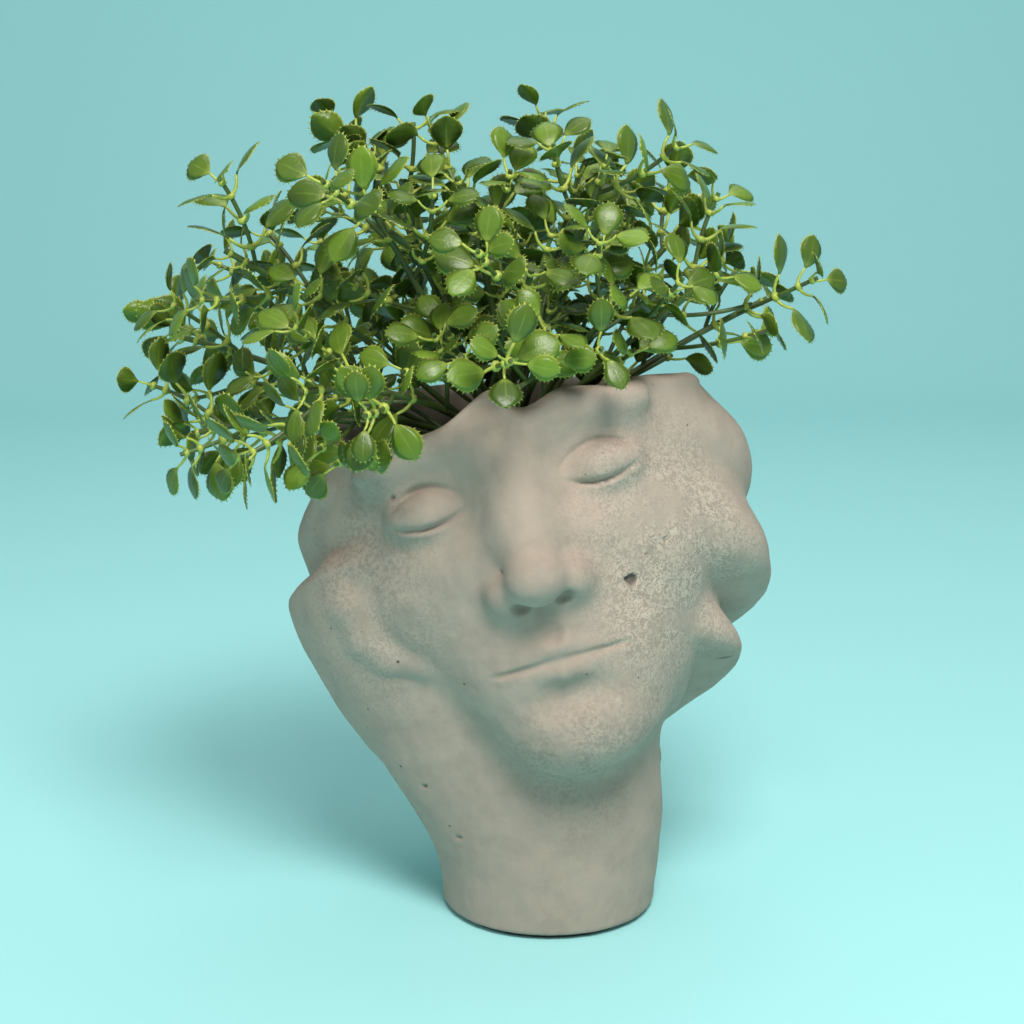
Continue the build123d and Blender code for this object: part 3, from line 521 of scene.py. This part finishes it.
def cavity_radius(turn, z):
    """Distance from the axis to the tapered cavity: the ray's far crossing of an ellipse."""
    f = np.clip((z - CAVITY_FLOOR) / (RIM_H - CAVITY_FLOOR), 0, 1)
    f = 1 - (1 - f) ** CAVITY_POWER
    half_x = CAVITY_FOOT_R + (CAVITY_X - CAVITY_FOOT_R) * f
    half_y = CAVITY_FOOT_R + (CAVITY_Y - CAVITY_FOOT_R) * f
    start, way = rays(turn, z)
    ox, oy = (start[..., 0] + CAVITY_LEFT * f) / half_x, (start[..., 1] - CAVITY_BACK * f) / half_y
    dx, dy = way[..., 0] / half_x, way[..., 1] / half_y
    a, b, c = dx * dx + dy * dy, ox * dx + oy * dy, ox * ox + oy * oy - 1
    return (-b + np.sqrt(b * b - a * c)) / a


def casting_rows():
    """Grid of points and how deep a bubble and how far inside each is: columns are turns, closest
    at the face; rows run up the outside, over the lip along a half circle and down the inside.
    The concrete turns the bubble depths and the share inside into painted shade."""
    x = np.linspace(-1, 1, AROUND, endpoint=False)
    turn = pi * (COLUMN_SHARES[0] * x + COLUMN_SHARES[1] * x ** 3)
    top = rim_height(turn) - LIP_H
    low = PAD_T + FOOT_EDGE
    share = np.linspace(0, 1, ROWS_OUTSIDE)
    share = share + ROW_SHARE * np.sin(2 * pi * share)
    z = low + share[:, None] * (top - low)
    turns = np.broadcast_to(turn, z.shape)
    out = outer_radius(turns, z)
    start, way = rays(turns, z)
    place = start + way * out[..., None]
    for depth, *wave in SKIN_WAVES:
        out = out + depth * waves(place, *wave)
    dent = 0 * out
    ragged = 1 + BUBBLE_EDGE[0] * waves(place, *BUBBLE_EDGE[1:])
    for side, height, wide, tall, deep in BUBBLES:
        away = np.hypot((turns - math.radians(side)) * out / wide, (z - height) / tall) * ragged
        dent = np.maximum(dent, deep * np.clip(BUBBLE_WALL - away ** 2, 0, 1))
    out = out - dent
    bevel = [(0 * turn + PAD_T, out[0] - FOOT_EDGE),
             (0 * turn + PAD_T + FOOT_EDGE / 3, out[0] - FOOT_EDGE / 3)]
    rows = bevel + list(zip(z, out))
    brink = out[-1]
    throat = np.maximum(cavity_radius(turn, top), brink - WALL)
    for angle in np.linspace(0, pi, ROWS_LIP)[1:]:
        half = (brink - throat) / 2
        rows.append((top + LIP_H * math.sin(angle), throat + half + half * math.cos(angle)))
    for share in np.linspace(1, 0, ROWS_INSIDE)[1:]:
        z = CAVITY_FLOOR + share * (top - CAVITY_FLOOR)
        widen = ease(1 - (top - z) / MOUTH_FLARE)
        inner = cavity_radius(turn, z) + (throat - cavity_radius(turn, top)) * widen
        rows.append((z, inner))
    points = []
    for z, r in rows:
        start, way = rays(turn, z)
        points.append(start + way * r[:, None])
    # painted shade: each bubble darkens by its depth, and the hollow from just below the lip down
    dents, inside = np.zeros((2, len(rows), AROUND))
    dents[len(bevel):len(bevel) + ROWS_OUTSIDE] = dent
    inside[1 - ROWS_INSIDE:] = ease(np.linspace(.4, 8, ROWS_INSIDE - 1))[:, None]
    return np.array(points), dents, inside


def concrete(look):
    """Cast concrete: warm grey in soft blotches, a paler broken crust on the cheeks and mostly on
    the right, darker speckles under the jaw and at the left, fine grain and pinholes. The pinholes,
    the bubbles and the hollow are darkened with painted shade."""
    f = Finish("concrete", look.concrete, .78, specular_ior_level=.35)
    blotch = f.noise(*BLOTCHES).step(.35, .68)
    colour = f.mix(blotch * .55, tuple(look.concrete), tuple(look.concrete_warm))
    cloud = f.noise(*CLOUDS)
    colour = f.mix((cloud.step(.40, .72)) * .30, colour, tuple(look.concrete_dark))
    crust_zone = f.zones(CRUST_ZONES).maths("MINIMUM", 1.0) * f.noise(60, 3, .6).step(.30, .56)
    net = abs(f.noise(*NET, warp=.8) - .5)
    crust = (1 - net.step(.020, .085)) * crust_zone
    colour = f.mix(crust_zone * .30, colour, tuple(look.concrete_dark))
    colour = f.mix(crust * .85, colour, tuple(look.crust))
    # darker speckled patches under the jaw and at the left
    speckle_zone = f.zones(SPECKLE_ZONES) * f.noise(70, 4, .6).step(.30, .60)
    speckle = f.noise(800, 3, .62).step(.47, .58) * speckle_zone
    colour = f.mix(speckle * .7, colour, tuple(look.concrete_dark))
    grain = f.noise(*GRAIN)
    colour = f.mix(grain.step(.62, .78) * .25, colour, tuple(look.concrete_dark))
    cells = {"Vector": f.place, "Scale": CELLS, "Randomness": 1.0}
    near = f.node("ShaderNodeTexVoronoi", {"feature": "F1"}, cells, output="Distance")
    cell = f.node("ShaderNodeTexVoronoi", {"feature": "F1"}, cells, output="Color")
    pick = f.node("ShaderNodeSeparateColor", None, {"Color": cell})
    size = (pick - WITHOUT_HOLE) * HOLE_GROWTH
    hole = 1 - (near - size).step(-.02, .03)
    # painted shade: each pinhole is coloured dark in place of the shadow inside it
    colour = f.mix(hole * .85, colour, tuple(look.painted_shade))
    dent = f.node("ShaderNodeAttribute", {"attribute_name": "dent"}, output="Fac")
    inside = f.node("ShaderNodeAttribute", {"attribute_name": "inside"}, output="Fac")
    # painted shade: the bubbles by their depth and the hollow are darkened in place of their shadow
    colour = f.mix(dent.step(.05, .9) * .8, colour, tuple(look.painted_shade))
    colour = f.mix(inside * .9, colour, tuple(look.painted_shade))
    f.set("Base Color", colour)
    f.set("Roughness", .74 + .12 * cloud)
    f.bump(.25 * grain + .35 * crust + .25 * cloud - 1.6 * hole, .00022)
    return f.material


# ---------------------------------------------------------------- operators

class PlanterConcrete(bpy.types.PropertyGroup):
    """Colours of the casting."""
    concrete: bpy.props.FloatVectorProperty(
        name="Concrete", description="Main grey of the casting", subtype="COLOR", size=3,
        min=0, max=1, default=(.368, .306, .254))
    concrete_warm: bpy.props.FloatVectorProperty(
        name="Warm blotches", description="Paler, warmer blotches", subtype="COLOR", size=3,
        min=0, max=1, default=(.435, .357, .292))
    concrete_dark: bpy.props.FloatVectorProperty(
        name="Dark grain", description="Darker grain and bloom", subtype="COLOR", size=3,
        min=0, max=1, default=(.225, .188, .152))
    crust: bpy.props.FloatVectorProperty(
        name="Crust", description="Pale broken crust on the face", subtype="COLOR", size=3,
        min=0, max=1, default=(.600, .500, .410))
    # colour of the painted shade in the pinholes, the bubbles and the hollow, in place of their
    # shadow
    painted_shade: bpy.props.FloatVectorProperty(
        name="Pinholes", description="Inside of the pinholes", subtype="COLOR", size=3,
        min=0, max=1, default=(.075, .066, .058))


class PlanterFoliage(bpy.types.PropertyGroup):
    """Colours of the insert and how much the leaves differ."""
    leaf_dark: bpy.props.FloatVectorProperty(
        name="Dark leaf", description="Darkest leaf green", subtype="COLOR", size=3,
        min=0, max=1, default=(.046, .088, .011))
    leaf_bright: bpy.props.FloatVectorProperty(
        name="Bright leaf", description="Brightest leaf green", subtype="COLOR", size=3,
        min=0, max=1, default=(.165, .285, .022))
    leaf_edge: bpy.props.FloatVectorProperty(
        name="Leaf edge", description="Pale margin, midrib and teeth", subtype="COLOR", size=3,
        min=0, max=1, default=(.420, .510, .085))
    stem: bpy.props.FloatVectorProperty(
        name="Stem", description="Green of the stems", subtype="COLOR", size=3,
        min=0, max=1, default=(.085, .155, .030))
    variety: bpy.props.FloatProperty(
        name="Variety", description="How much the leaves differ in turn and curl",
        subtype="FACTOR", min=0, max=1, default=1.0)
    tooth: bpy.props.FloatProperty(
        name="Tooth", description="Length of a leaf's teeth", subtype="DISTANCE", unit="LENGTH",
        min=0, max=.003, default=.0008)


class PlanterStage(bpy.types.PropertyGroup):
    """Floor, backdrop and lights."""
    backdrop: bpy.props.FloatVectorProperty(
        name="Backdrop", description="Colour of the floor and backdrop", subtype="COLOR", size=3,
        min=0, max=1, default=(.38, .77, .79))
    key: bpy.props.FloatProperty(
        name="Main light", description="Power of the main lamp", subtype="POWER", unit="POWER",
        min=0, default=16.0)


class PLANTER_OT_head(bpy.types.Operator):
    """Cast concrete head: its face, hair, neck, rounded lip and hollow in one skin"""
    bl_idname = "planter.head"
    bl_label = "Head"

    def execute(self, context):
        rows, dents, inside = casting_rows()
        ends = [rows[0].mean(0), rows[-1].mean(0)]
        points = np.concatenate([rows.reshape(-1, 3), ends])
        faces = ring_faces(len(rows), AROUND, True)
        piece = new_piece("head", points, faces, "planter",
                          concrete(context.scene.planter_concrete), ("planter_head",))
        # bubble depths and the hollow's share, which the concrete turns into painted shade
        store(piece, "dent", np.append(dents, [0, 0]))
        store(piece, "inside", np.append(inside, [0, 1]))
        return {"FINISHED"}


def dress(node, finish):
    """Give a CAD node a material in its own slot."""
    piece = NODES[node]
    if piece.material_slots:
        piece.material_slots[0].material = finish
    else:
        piece.data.materials.append(finish)


class PLANTER_OT_pad(bpy.types.Operator):
    """Felt disc under the foot"""
    bl_idname = "planter.pad"
    bl_label = "Foot pad"

    def execute(self, context):
        f = Finish("felt", (.03, .029, .028), .95, sheen_weight=.4)
        f.bump(f.noise(1500, 4, .7), .0003)
        dress("foot_pad", f.material)
        return {"FINISHED"}


class PLANTER_OT_core(bpy.types.Operator):
    """Foam block and stalk that hold the branches"""
    bl_idname = "planter.core"
    bl_label = "Foam and stalk"

    def execute(self, context):
        f = Finish("foam", (.035, .055, .030), .9)
        pores = f.node("ShaderNodeTexVoronoi", None, {"Vector": f.place, "Scale": 900.0},
                       output="Distance")
        f.bump(pores, .0004)
        dress("foam_plug", f.material)
        dress("bush_stalk", stem_finish(context.scene.planter_foliage, "stalk"))
        return {"FINISHED"}


class PLANTER_OT_dressing(bpy.types.Operator):
    """Dark crumbled dressing over the foam"""
    bl_idname = "planter.dressing"
    bl_label = "Dressing"

    def execute(self, context):
        around, rings = DRESSING_GRID
        turn = np.linspace(0, 2 * pi, around, endpoint=False)
        start, way = rays(turn - pi, 0 * turn + DRESSING_HIGH)
        edge = start + way * (cavity_radius(turn - pi, 0 * turn + DRESSING_HIGH - 3) - .5)[:, None]
        hub = np.array([*STALK_PLACE, DRESSING_HIGH])
        inner = hub + (edge - hub) * (STALK_R + .12) / np.linalg.norm(edge - hub, axis=1)[:, None]
        rows = []
        for share in np.linspace(0, 1, rings):
            row = inner + (edge - inner) * share
            crumbs = CRUMBS[0] * waves(row, *CRUMBS[1:]) - .8
            row = row + np.array([0, 0, 1]) * (np.minimum(crumbs, .2) - 2.2 * share ** 8)[:, None]
            rows.append(row)
        for row in (edge, inner):
            low = row.copy()
            low[:, 2] = DRESSING_LOW
            rows.append(low)
        rows.append(rows[0])
        f = Finish("dressing", (.022, .018, .013), .9)
        tone = f.noise(700, 3).step(.4, .7)
        f.set("Base Color", f.mix(tone, (.015, .012, .009), (.05, .040, .028)))
        f.bump(f.noise(1300, 4, .7), .0006)
        rows = rows[::-1]
        new_piece("dressing", np.concatenate(rows), ring_faces(len(rows), around, False),
                  "plant_insert", f.material, ("soil_dressing",))
        return {"FINISHED"}


def stem_finish(look, name):
    """Moulded stem: soft green with darker, browner stretches."""
    f = Finish(name, tuple(look.stem), .42)
    tone = f.noise(55, 3, .6).step(.35, .68)
    f.set("Base Color", f.mix(tone, (.060, .085, .022), tuple(look.stem)))
    f.bump(f.noise(1500, 2), .0001)
    return f.material


class PLANTER_OT_stems(bpy.types.Operator):
    """Moulded branches and side shoots"""
    bl_idname = "planter.stems"
    bl_label = "Stems"

    def execute(self, context):
        finish = stem_finish(context.scene.planter_foliage, "stem")
        for name in NODES:
            if name.endswith("_stem"):
                dress(name, finish)
        return {"FINISHED"}


def loose_solids(node):
    """Corners of each separate solid of a CAD node, in millimetres. Equal corners are merged, and
    each takes the least number among its neighbours until nothing changes. Specks are left out."""
    mesh = node.data
    corners = np.empty(len(mesh.vertices) * 3, np.float32)
    mesh.vertices.foreach_get("co", corners)
    edges = np.empty(len(mesh.edges) * 2, np.int32)
    mesh.edges.foreach_get("vertices", edges)
    places, index = np.unique(np.round(corners.reshape(-1, 3) / MM, 2), axis=0, return_inverse=True)
    first, second = index.reshape(-1)[edges.reshape(-1, 2)].T
    label = np.arange(len(places))
    while True:
        least = label.copy()
        np.minimum.at(least, first, label[second])
        np.minimum.at(least, second, label[first])
        least = least[least]
        if (least == label).all():
            break
        label = least
    solids = [places[label == n] for n in np.unique(label)]
    return [each for each in solids if np.ptp(each, axis=0).max() > 2 * COLLAR_H]


def pair_frame(solid):
    """Where a leaf pair sits: the collar's middle, the directions along the leaves, across them
    and up the stem, and the pair's size. The leaves lie along the corners' longest direction."""
    middle = solid.mean(0)
    along = np.linalg.svd(solid - middle, full_matrices=False)[2][0]
    reach = (solid - middle) @ along
    half = np.ptp(reach) / 2
    size = half / PAIR_REACH
    middle = middle + along * (reach.max() + reach.min()) / 2
    collar = solid[np.abs((solid - middle) @ along) < COLLAR_HALF * size]
    up = middle - collar.mean(0)
    up = up - along * (up @ along)
    up = up / np.linalg.norm(up)
    across = np.cross(up, along)
    centre = middle + across * ((collar - middle) @ across).mean()
    low = ((collar - centre) @ up).min()
    return centre + up * (low + COLLAR_H / 2 * size), along, across, up, size


def blade_half(s):
    """Half width of a blade at a share of its length: a skewed sine raised to a power."""
    return LEAF_W / 2 * np.sin(pi * np.clip(s, 0, 1) ** 1.22) ** .70 + .28 * (1 - s) ** 2


def blade_height(x, y, curl):
    """Height of a blade's upper side: a dome through the root, with a grooved midrib."""
    middle = LEAF_L - LEAF_W / 2
    dome = (middle ** 2 - (x - middle) ** 2 - y ** 2) / (2 * DOME_R)
    rib = RIB_DEPTH * np.exp(-(y / RIB_W) ** 2)
    return dome * curl - rib * np.sin(pi * np.clip(x / LEAF_L, 0, 1))


def leaf_template(tooth, curl, narrow):
    """One leaf along +X from the stem: points, faces, and (along, across, pale) at each point.

    The blade's top is a grid of stations by five lines, its underside runs from both margins to
    one keel line, and the teeth are slim three-sided spikes."""
    points, faces, marks = [], [], []

    def add(new_points, new_faces, new_marks):
        base = sum(len(p) for p in points)
        points.append(np.asarray(new_points, float))
        marks.append(np.asarray(new_marks, float))
        faces.extend([[base + i for i in face] for face in new_faces])

    stations = STATIONS
    s = np.sin(pi / 2 * np.linspace(0, 1, stations)) ** 1.5
    s[0], s[-1] = 0, 1
    across = np.array(BLADE_LINES)
    half = blade_half(s) * narrow
    half[-1] = .35
    x = np.repeat(s * LEAF_L, 5).reshape(-1, 5)
    y = half[:, None] * across
    ripple = RIPPLE_H * np.sin(RIPPLE_WAVE * s + 2 * curl)[:, None] * across ** 2
    top = np.stack([x, y, blade_height(x, y, curl) + ripple], -1)
    under = top[:, 2] - [0, 0, LEAF_T * .8]
    corners = np.concatenate([top.reshape(-1, 3), under])
    mark = np.stack([x / LEAF_L, np.broadcast_to(across, x.shape), 0 * x], -1).reshape(-1, 3)
    mark = np.concatenate([mark, np.stack([s, 0 * s, 0 * s], -1)])
    quads = []
    for i in range(stations - 1):
        for j in range(4):
            a = i * 5 + j
            quads.append([a, a + 5, a + 6, a + 1])
        low, edge = stations * 5 + i, i * 5
        quads.append([edge, low, low + 1, edge + 5])
        quads.append([low, edge + 4, edge + 9, low + 1])
    quads.append([0, 1, 2, 3, 4, stations * 5])
    tip = (stations - 1) * 5
    quads.append([tip + 4, tip + 3, tip + 2, tip + 1, tip, stations * 6 - 1])
    add(corners, quads, mark)

    for share in TOOTH_SHARES:
        for side in (-1, 1):
            base = share + np.array([-TOOTH_HALF, TOOTH_HALF])
            bx, by = base * LEAF_L, blade_half(base) * narrow
            run = np.array([bx[1] - bx[0], by[1] - by[0]])
            out = np.array([-run[1], run[0]]) / np.linalg.norm(run) + np.array([TOOTH_LEAN, 0])
            out = out / np.linalg.norm(out) * tooth
            peak = [bx.mean() + out[0], by.mean() + out[1]]
            ends = np.array([[bx[0], by[0]], [bx[1], by[1]], peak])
            ends[:2] -= out * TOOTH_ROOT
            ends[:, 1] *= side
            height = blade_height(ends[:, 0], ends[:, 1], curl)
            spike = np.column_stack([ends, height])
            keel = spike[:2].mean(0) - [0, 0, TOOTH_KEEL]
            order = [[0, 1, 2], [1, 3, 2], [3, 0, 2]]
            if side < 0:
                order = [face[::-1] for face in order]
            add(np.vstack([spike, keel]), [face[::-1] for face in order],
                np.tile([share, side, 1.0], (4, 1)))

    return np.concatenate(points), faces, np.concatenate(marks)


def lay_leaf(template, rng, look, side, size):
    """Turn a blade about its root, hang it on its petiole, and turn both to their side."""
    points, faces, marks = template
    rise = math.radians(PETIOLE_RISE + look.variety * rng.uniform(*RISE_SPREAD))
    tilt = math.radians(BLADE_RISE + look.variety * rng.uniform(*TILT_SPREAD))
    roll = math.radians(look.variety * rng.uniform(*ROLL_SPREAD))
    yaw = math.radians(look.variety * rng.uniform(*YAW_SPREAD))
    end = np.array([COLLAR_R + PETIOLE_L * math.cos(rise), 0, PETIOLE_L * math.sin(rise)])

    def turned(p, angle, a, b):
        p = p.copy()
        p[:, a], p[:, b] = (p[:, a] * math.cos(angle) - p[:, b] * math.sin(angle),
                            p[:, a] * math.sin(angle) + p[:, b] * math.cos(angle))
        return p

    blade = turned(turned(turned(points, roll, 1, 2), yaw, 0, 1), tilt, 0, 2) + end

    # the petiole bows from level at the stem to the blade's direction
    start = np.array([COLLAR_R * .6, 0, 0])
    knee = start + np.array([.45, 0, .12]) * PETIOLE_L
    sides, rings = TUBE_SIDES, TUBE_RINGS
    tube = []
    for t in np.linspace(0, 1, rings):
        centre = start * (1 - t) ** 2 + 2 * knee * t * (1 - t) + end * t ** 2
        way = (knee - start) * (1 - t) + (end - knee) * t
        way = way / np.linalg.norm(way)
        up = np.array([-way[2], 0, way[0]])
        ring = np.linspace(0, 2 * pi, sides, endpoint=False)[:, None]
        r = PETIOLE_R * (1.15 - .35 * t)
        tube.append(centre + r * (np.cos(ring) * np.array([0, 1, 0]) + np.sin(ring) * up))
    count = len(blade)
    tube_faces = [[count + i for i in face][::-1] for face in ring_faces(rings, sides, False)]
    tube_faces += [[count + (rings - 1) * sides + i for i in range(sides)][::-1]]
    whole = np.concatenate([blade] + tube) * size
    whole[:, :2] *= side
    tube_marks = np.tile([0, 0, PETIOLE_PALE], (rings * sides, 1))
    return whole, faces + tube_faces, np.concatenate([marks, tube_marks])


def collar(size):
    """Ring round the stem that the two petioles grow from: an eight-sided barrel."""
    sides = COLLAR_SIDES
    turn = np.linspace(0, 2 * pi, sides, endpoint=False)
    rows = []
    for r, z in COLLAR_ROWS:
        rows.append(np.stack([r * np.cos(turn), r * np.sin(turn), z + 0 * turn], -1) * size)
    marks = np.tile([0, 0, COLLAR_PALE], (len(rows) * sides, 1))
    return np.concatenate(rows), ring_faces(len(rows), sides, False), marks


def leaf_finish(look):
    """Moulded leaf: glossy green that differs from leaf to leaf, with a pale margin, midrib and
    teeth and a yellower root."""
    f = Finish("leaf", tuple(look.leaf_bright), .33, specular_ior_level=.42)
    tone = f.node("ShaderNodeAttribute", {"attribute_name": "tone"}, output="Fac")
    pale = f.node("ShaderNodeAttribute", {"attribute_name": "pale"}, output="Fac")
    uv = f.node("ShaderNodeUVMap", {"uv_map": "UVMap"})
    along = f.node("ShaderNodeSeparateXYZ", None, {"Vector": uv}, output="X")
    side = f.node("ShaderNodeSeparateXYZ", None, {"Vector": uv}, output="Y")
    middle = abs(side - .5) * 2
    colour = f.mix(tone, tuple(look.leaf_dark), tuple(look.leaf_bright))
    cloud = f.noise(260, 3, .6).step(.3, .75)
    colour = f.mix(cloud * .25, colour, tuple(look.leaf_dark))
    rim = middle.step(.82, 1.0) * along.step(.05, .3) * .8
    rib = (1 - middle.step(.0, .10)) * (1 - along.step(.5, 1.0)) * .16
    root = (1 - along.step(.0, .28)) * .35
    share = (rim + rib + root + pale).maths("MINIMUM", 1.0)
    f.set("Base Color", f.mix(share, colour, tuple(look.leaf_edge)))
    f.set("Roughness", .27 + .16 * f.noise(420, 3, .6))
    f.bump(f.noise(900, 3, .6) - rib * .8, .00012)
    return f.material


class PLANTER_OT_leaves(bpy.types.Operator):
    """Leaf pairs of each branch, laid where the part has them"""
    bl_idname = "planter.leaves"
    bl_label = "Leaves"

    def execute(self, context):
        look = context.scene.planter_foliage
        finish = leaf_finish(look)
        rng = np.random.default_rng(31)
        templates = [leaf_template(look.tooth / MM, curl, narrow)
                     for curl in (.75, 1.0, 1.25) for narrow in (.92, 1.0, 1.08)]
        for name in sorted(n for n in NODES if n.endswith("_leaves")):
            points, faces, marks, tones = [], [], [], []
            count = 0
            for solid in loose_solids(NODES[name]):
                centre, along, across, up, size = pair_frame(solid)
                shade = rng.uniform(0, 1)
                parts = [lay_leaf(templates[rng.integers(len(templates))], rng, look, side,
                                  size * (SIZE_UP + SIZE_SPREAD * look.variety
                                          * rng.uniform(-1, 1)))
                         for side in (-1, 1)]
                for place, shape, mark in parts + [collar(size)]:
                    tone = np.clip(.65 * shade + .35 * rng.uniform(0, 1), 0, 1)
                    points.append(centre + place @ np.stack([along, across, up]))
                    faces += [[count + i for i in face] for face in shape]
                    marks.append(mark)
                    tones.append(np.full(len(place), tone))
                    count += len(place)
            piece = new_piece(name.replace("_leaves", "_foliage"), np.concatenate(points), faces,
                              "plant_insert", finish, (name,))
            mark_points(piece, np.concatenate(marks), np.concatenate(tones))
        return {"FINISHED"}


def mark_points(piece, marks, tones):
    """Store each corner's place along and across its leaf, its tone and how pale it is."""
    mesh = piece.data
    store(piece, "tone", tones)
    store(piece, "pale", marks[:, 2])
    corner = np.empty(len(mesh.loops), np.int32)
    mesh.loops.foreach_get("vertex_index", corner)
    uv = np.stack([marks[:, 0], marks[:, 1] / 2 + .5], -1)[corner]
    mesh.uv_layers.new(name="UVMap").data.foreach_set("uv", uv.reshape(-1))


class PLANTER_OT_stage(bpy.types.Operator):
    """Floor and backdrop in one sheet, lights and camera"""
    bl_idname = "planter.stage"
    bl_label = "Stage"

    def execute(self, context):
        look = context.scene.planter_stage
        scene = context.scene
        # floor that curves up into the backdrop: level, quarter circle, upright
        profile = [(FLOOR_FRONT, 0.0), (FLOOR_BACK, 0.0)]
        profile += [(FLOOR_BACK + BEND_R * math.sin(a), BEND_R * (1 - math.cos(a)))
                    for a in np.linspace(0, pi / 2, BEND_STEPS)[1:]]
        profile += [(FLOOR_BACK + BEND_R, BACKDROP_TOP)]
        y, z = np.array(profile).T
        points = [(x, b, c) for x in (-FLOOR_SIDE, FLOOR_SIDE) for b, c in zip(y, z)]
        n = len(profile)
        faces = [[i, i + n, i + n + 1, i + 1] for i in range(n - 1)]
        mesh = bpy.data.meshes.new("sweep")
        mesh.from_pydata(points, [], faces)
        mesh.polygons.foreach_set("use_smooth", np.ones(len(mesh.polygons), bool))
        paint = Finish("sweep", tuple(look.backdrop), .8, specular_ior_level=.2)
        mesh.materials.append(paint.material)
        sweep = bpy.data.objects.new("sweep", mesh)
        scene.collection.objects.link(sweep)

        world = bpy.data.worlds.new("studio")
        scene.world = world
        world.use_nodes = True
        sky = world.node_tree.nodes["Background"]
        sky.inputs["Color"].default_value = SKY_COLOUR
        sky.inputs["Strength"].default_value = SKY_STRENGTH
        for name, place, share, size in LAMPS:
            lamp = bpy.data.lights.new(name, "AREA")
            lamp.energy, lamp.size, lamp.color = look.key * share, size, LAMP_COLOUR
            light = bpy.data.objects.new(name, lamp)
            light.location = place
            aim = Vector(LAMP_AIM) - Vector(place)
            light.rotation_euler = aim.to_track_quat("-Z", "Y").to_euler()
            scene.collection.objects.link(light)

        camera = bpy.data.cameras.new("camera")
        camera.lens, camera.sensor_width = CAMERA_LENS, CAMERA_SENSOR
        view = bpy.data.objects.new("camera", camera)
        view.location = CAMERA_PLACE
        view.rotation_euler = (math.radians(90 - CAMERA_DOWN), 0, 0)
        scene.collection.objects.link(view)
        scene.camera = view
        scene.view_settings.view_transform = "Standard"
        return {"FINISHED"}


class PLANTER_PT_panel(bpy.types.Panel):
    """Panel that lists the planter's colours, sizes and pieces"""
    bl_idname = "PLANTER_PT_panel"
    bl_label = "Head planter"
    bl_space_type = "VIEW_3D"
    bl_region_type = "UI"
    bl_category = "Planter"

    def draw(self, context):
        scene = context.scene
        for group in (scene.planter_concrete, scene.planter_foliage, scene.planter_stage):
            box = self.layout.box()
            for name in group.bl_rna.properties.keys():
                if name not in ("rna_type", "name"):
                    box.prop(group, name)
        for operator in PIECES:
            self.layout.operator(operator.bl_idname)


GROUPS = {"planter_concrete": PlanterConcrete, "planter_foliage": PlanterFoliage,
          "planter_stage": PlanterStage}
PIECES = (PLANTER_OT_head, PLANTER_OT_pad, PLANTER_OT_core, PLANTER_OT_dressing,
          PLANTER_OT_stems, PLANTER_OT_leaves, PLANTER_OT_stage)


def register():
    for name, group in GROUPS.items():
        bpy.utils.register_class(group)
        setattr(bpy.types.Scene, name, bpy.props.PointerProperty(type=group))
    for each in PIECES + (PLANTER_PT_panel,):
        bpy.utils.register_class(each)


def unregister():
    for each in PIECES + (PLANTER_PT_panel,):
        bpy.utils.unregister_class(each)
    for name, group in GROUPS.items():
        delattr(bpy.types.Scene, name)
        bpy.utils.unregister_class(group)


def main():
    register()
    for each in PIECES:
        group, name = each.bl_idname.split(".")
        getattr(getattr(bpy.ops, group), name)()


if __name__ == "__main__":
    main()
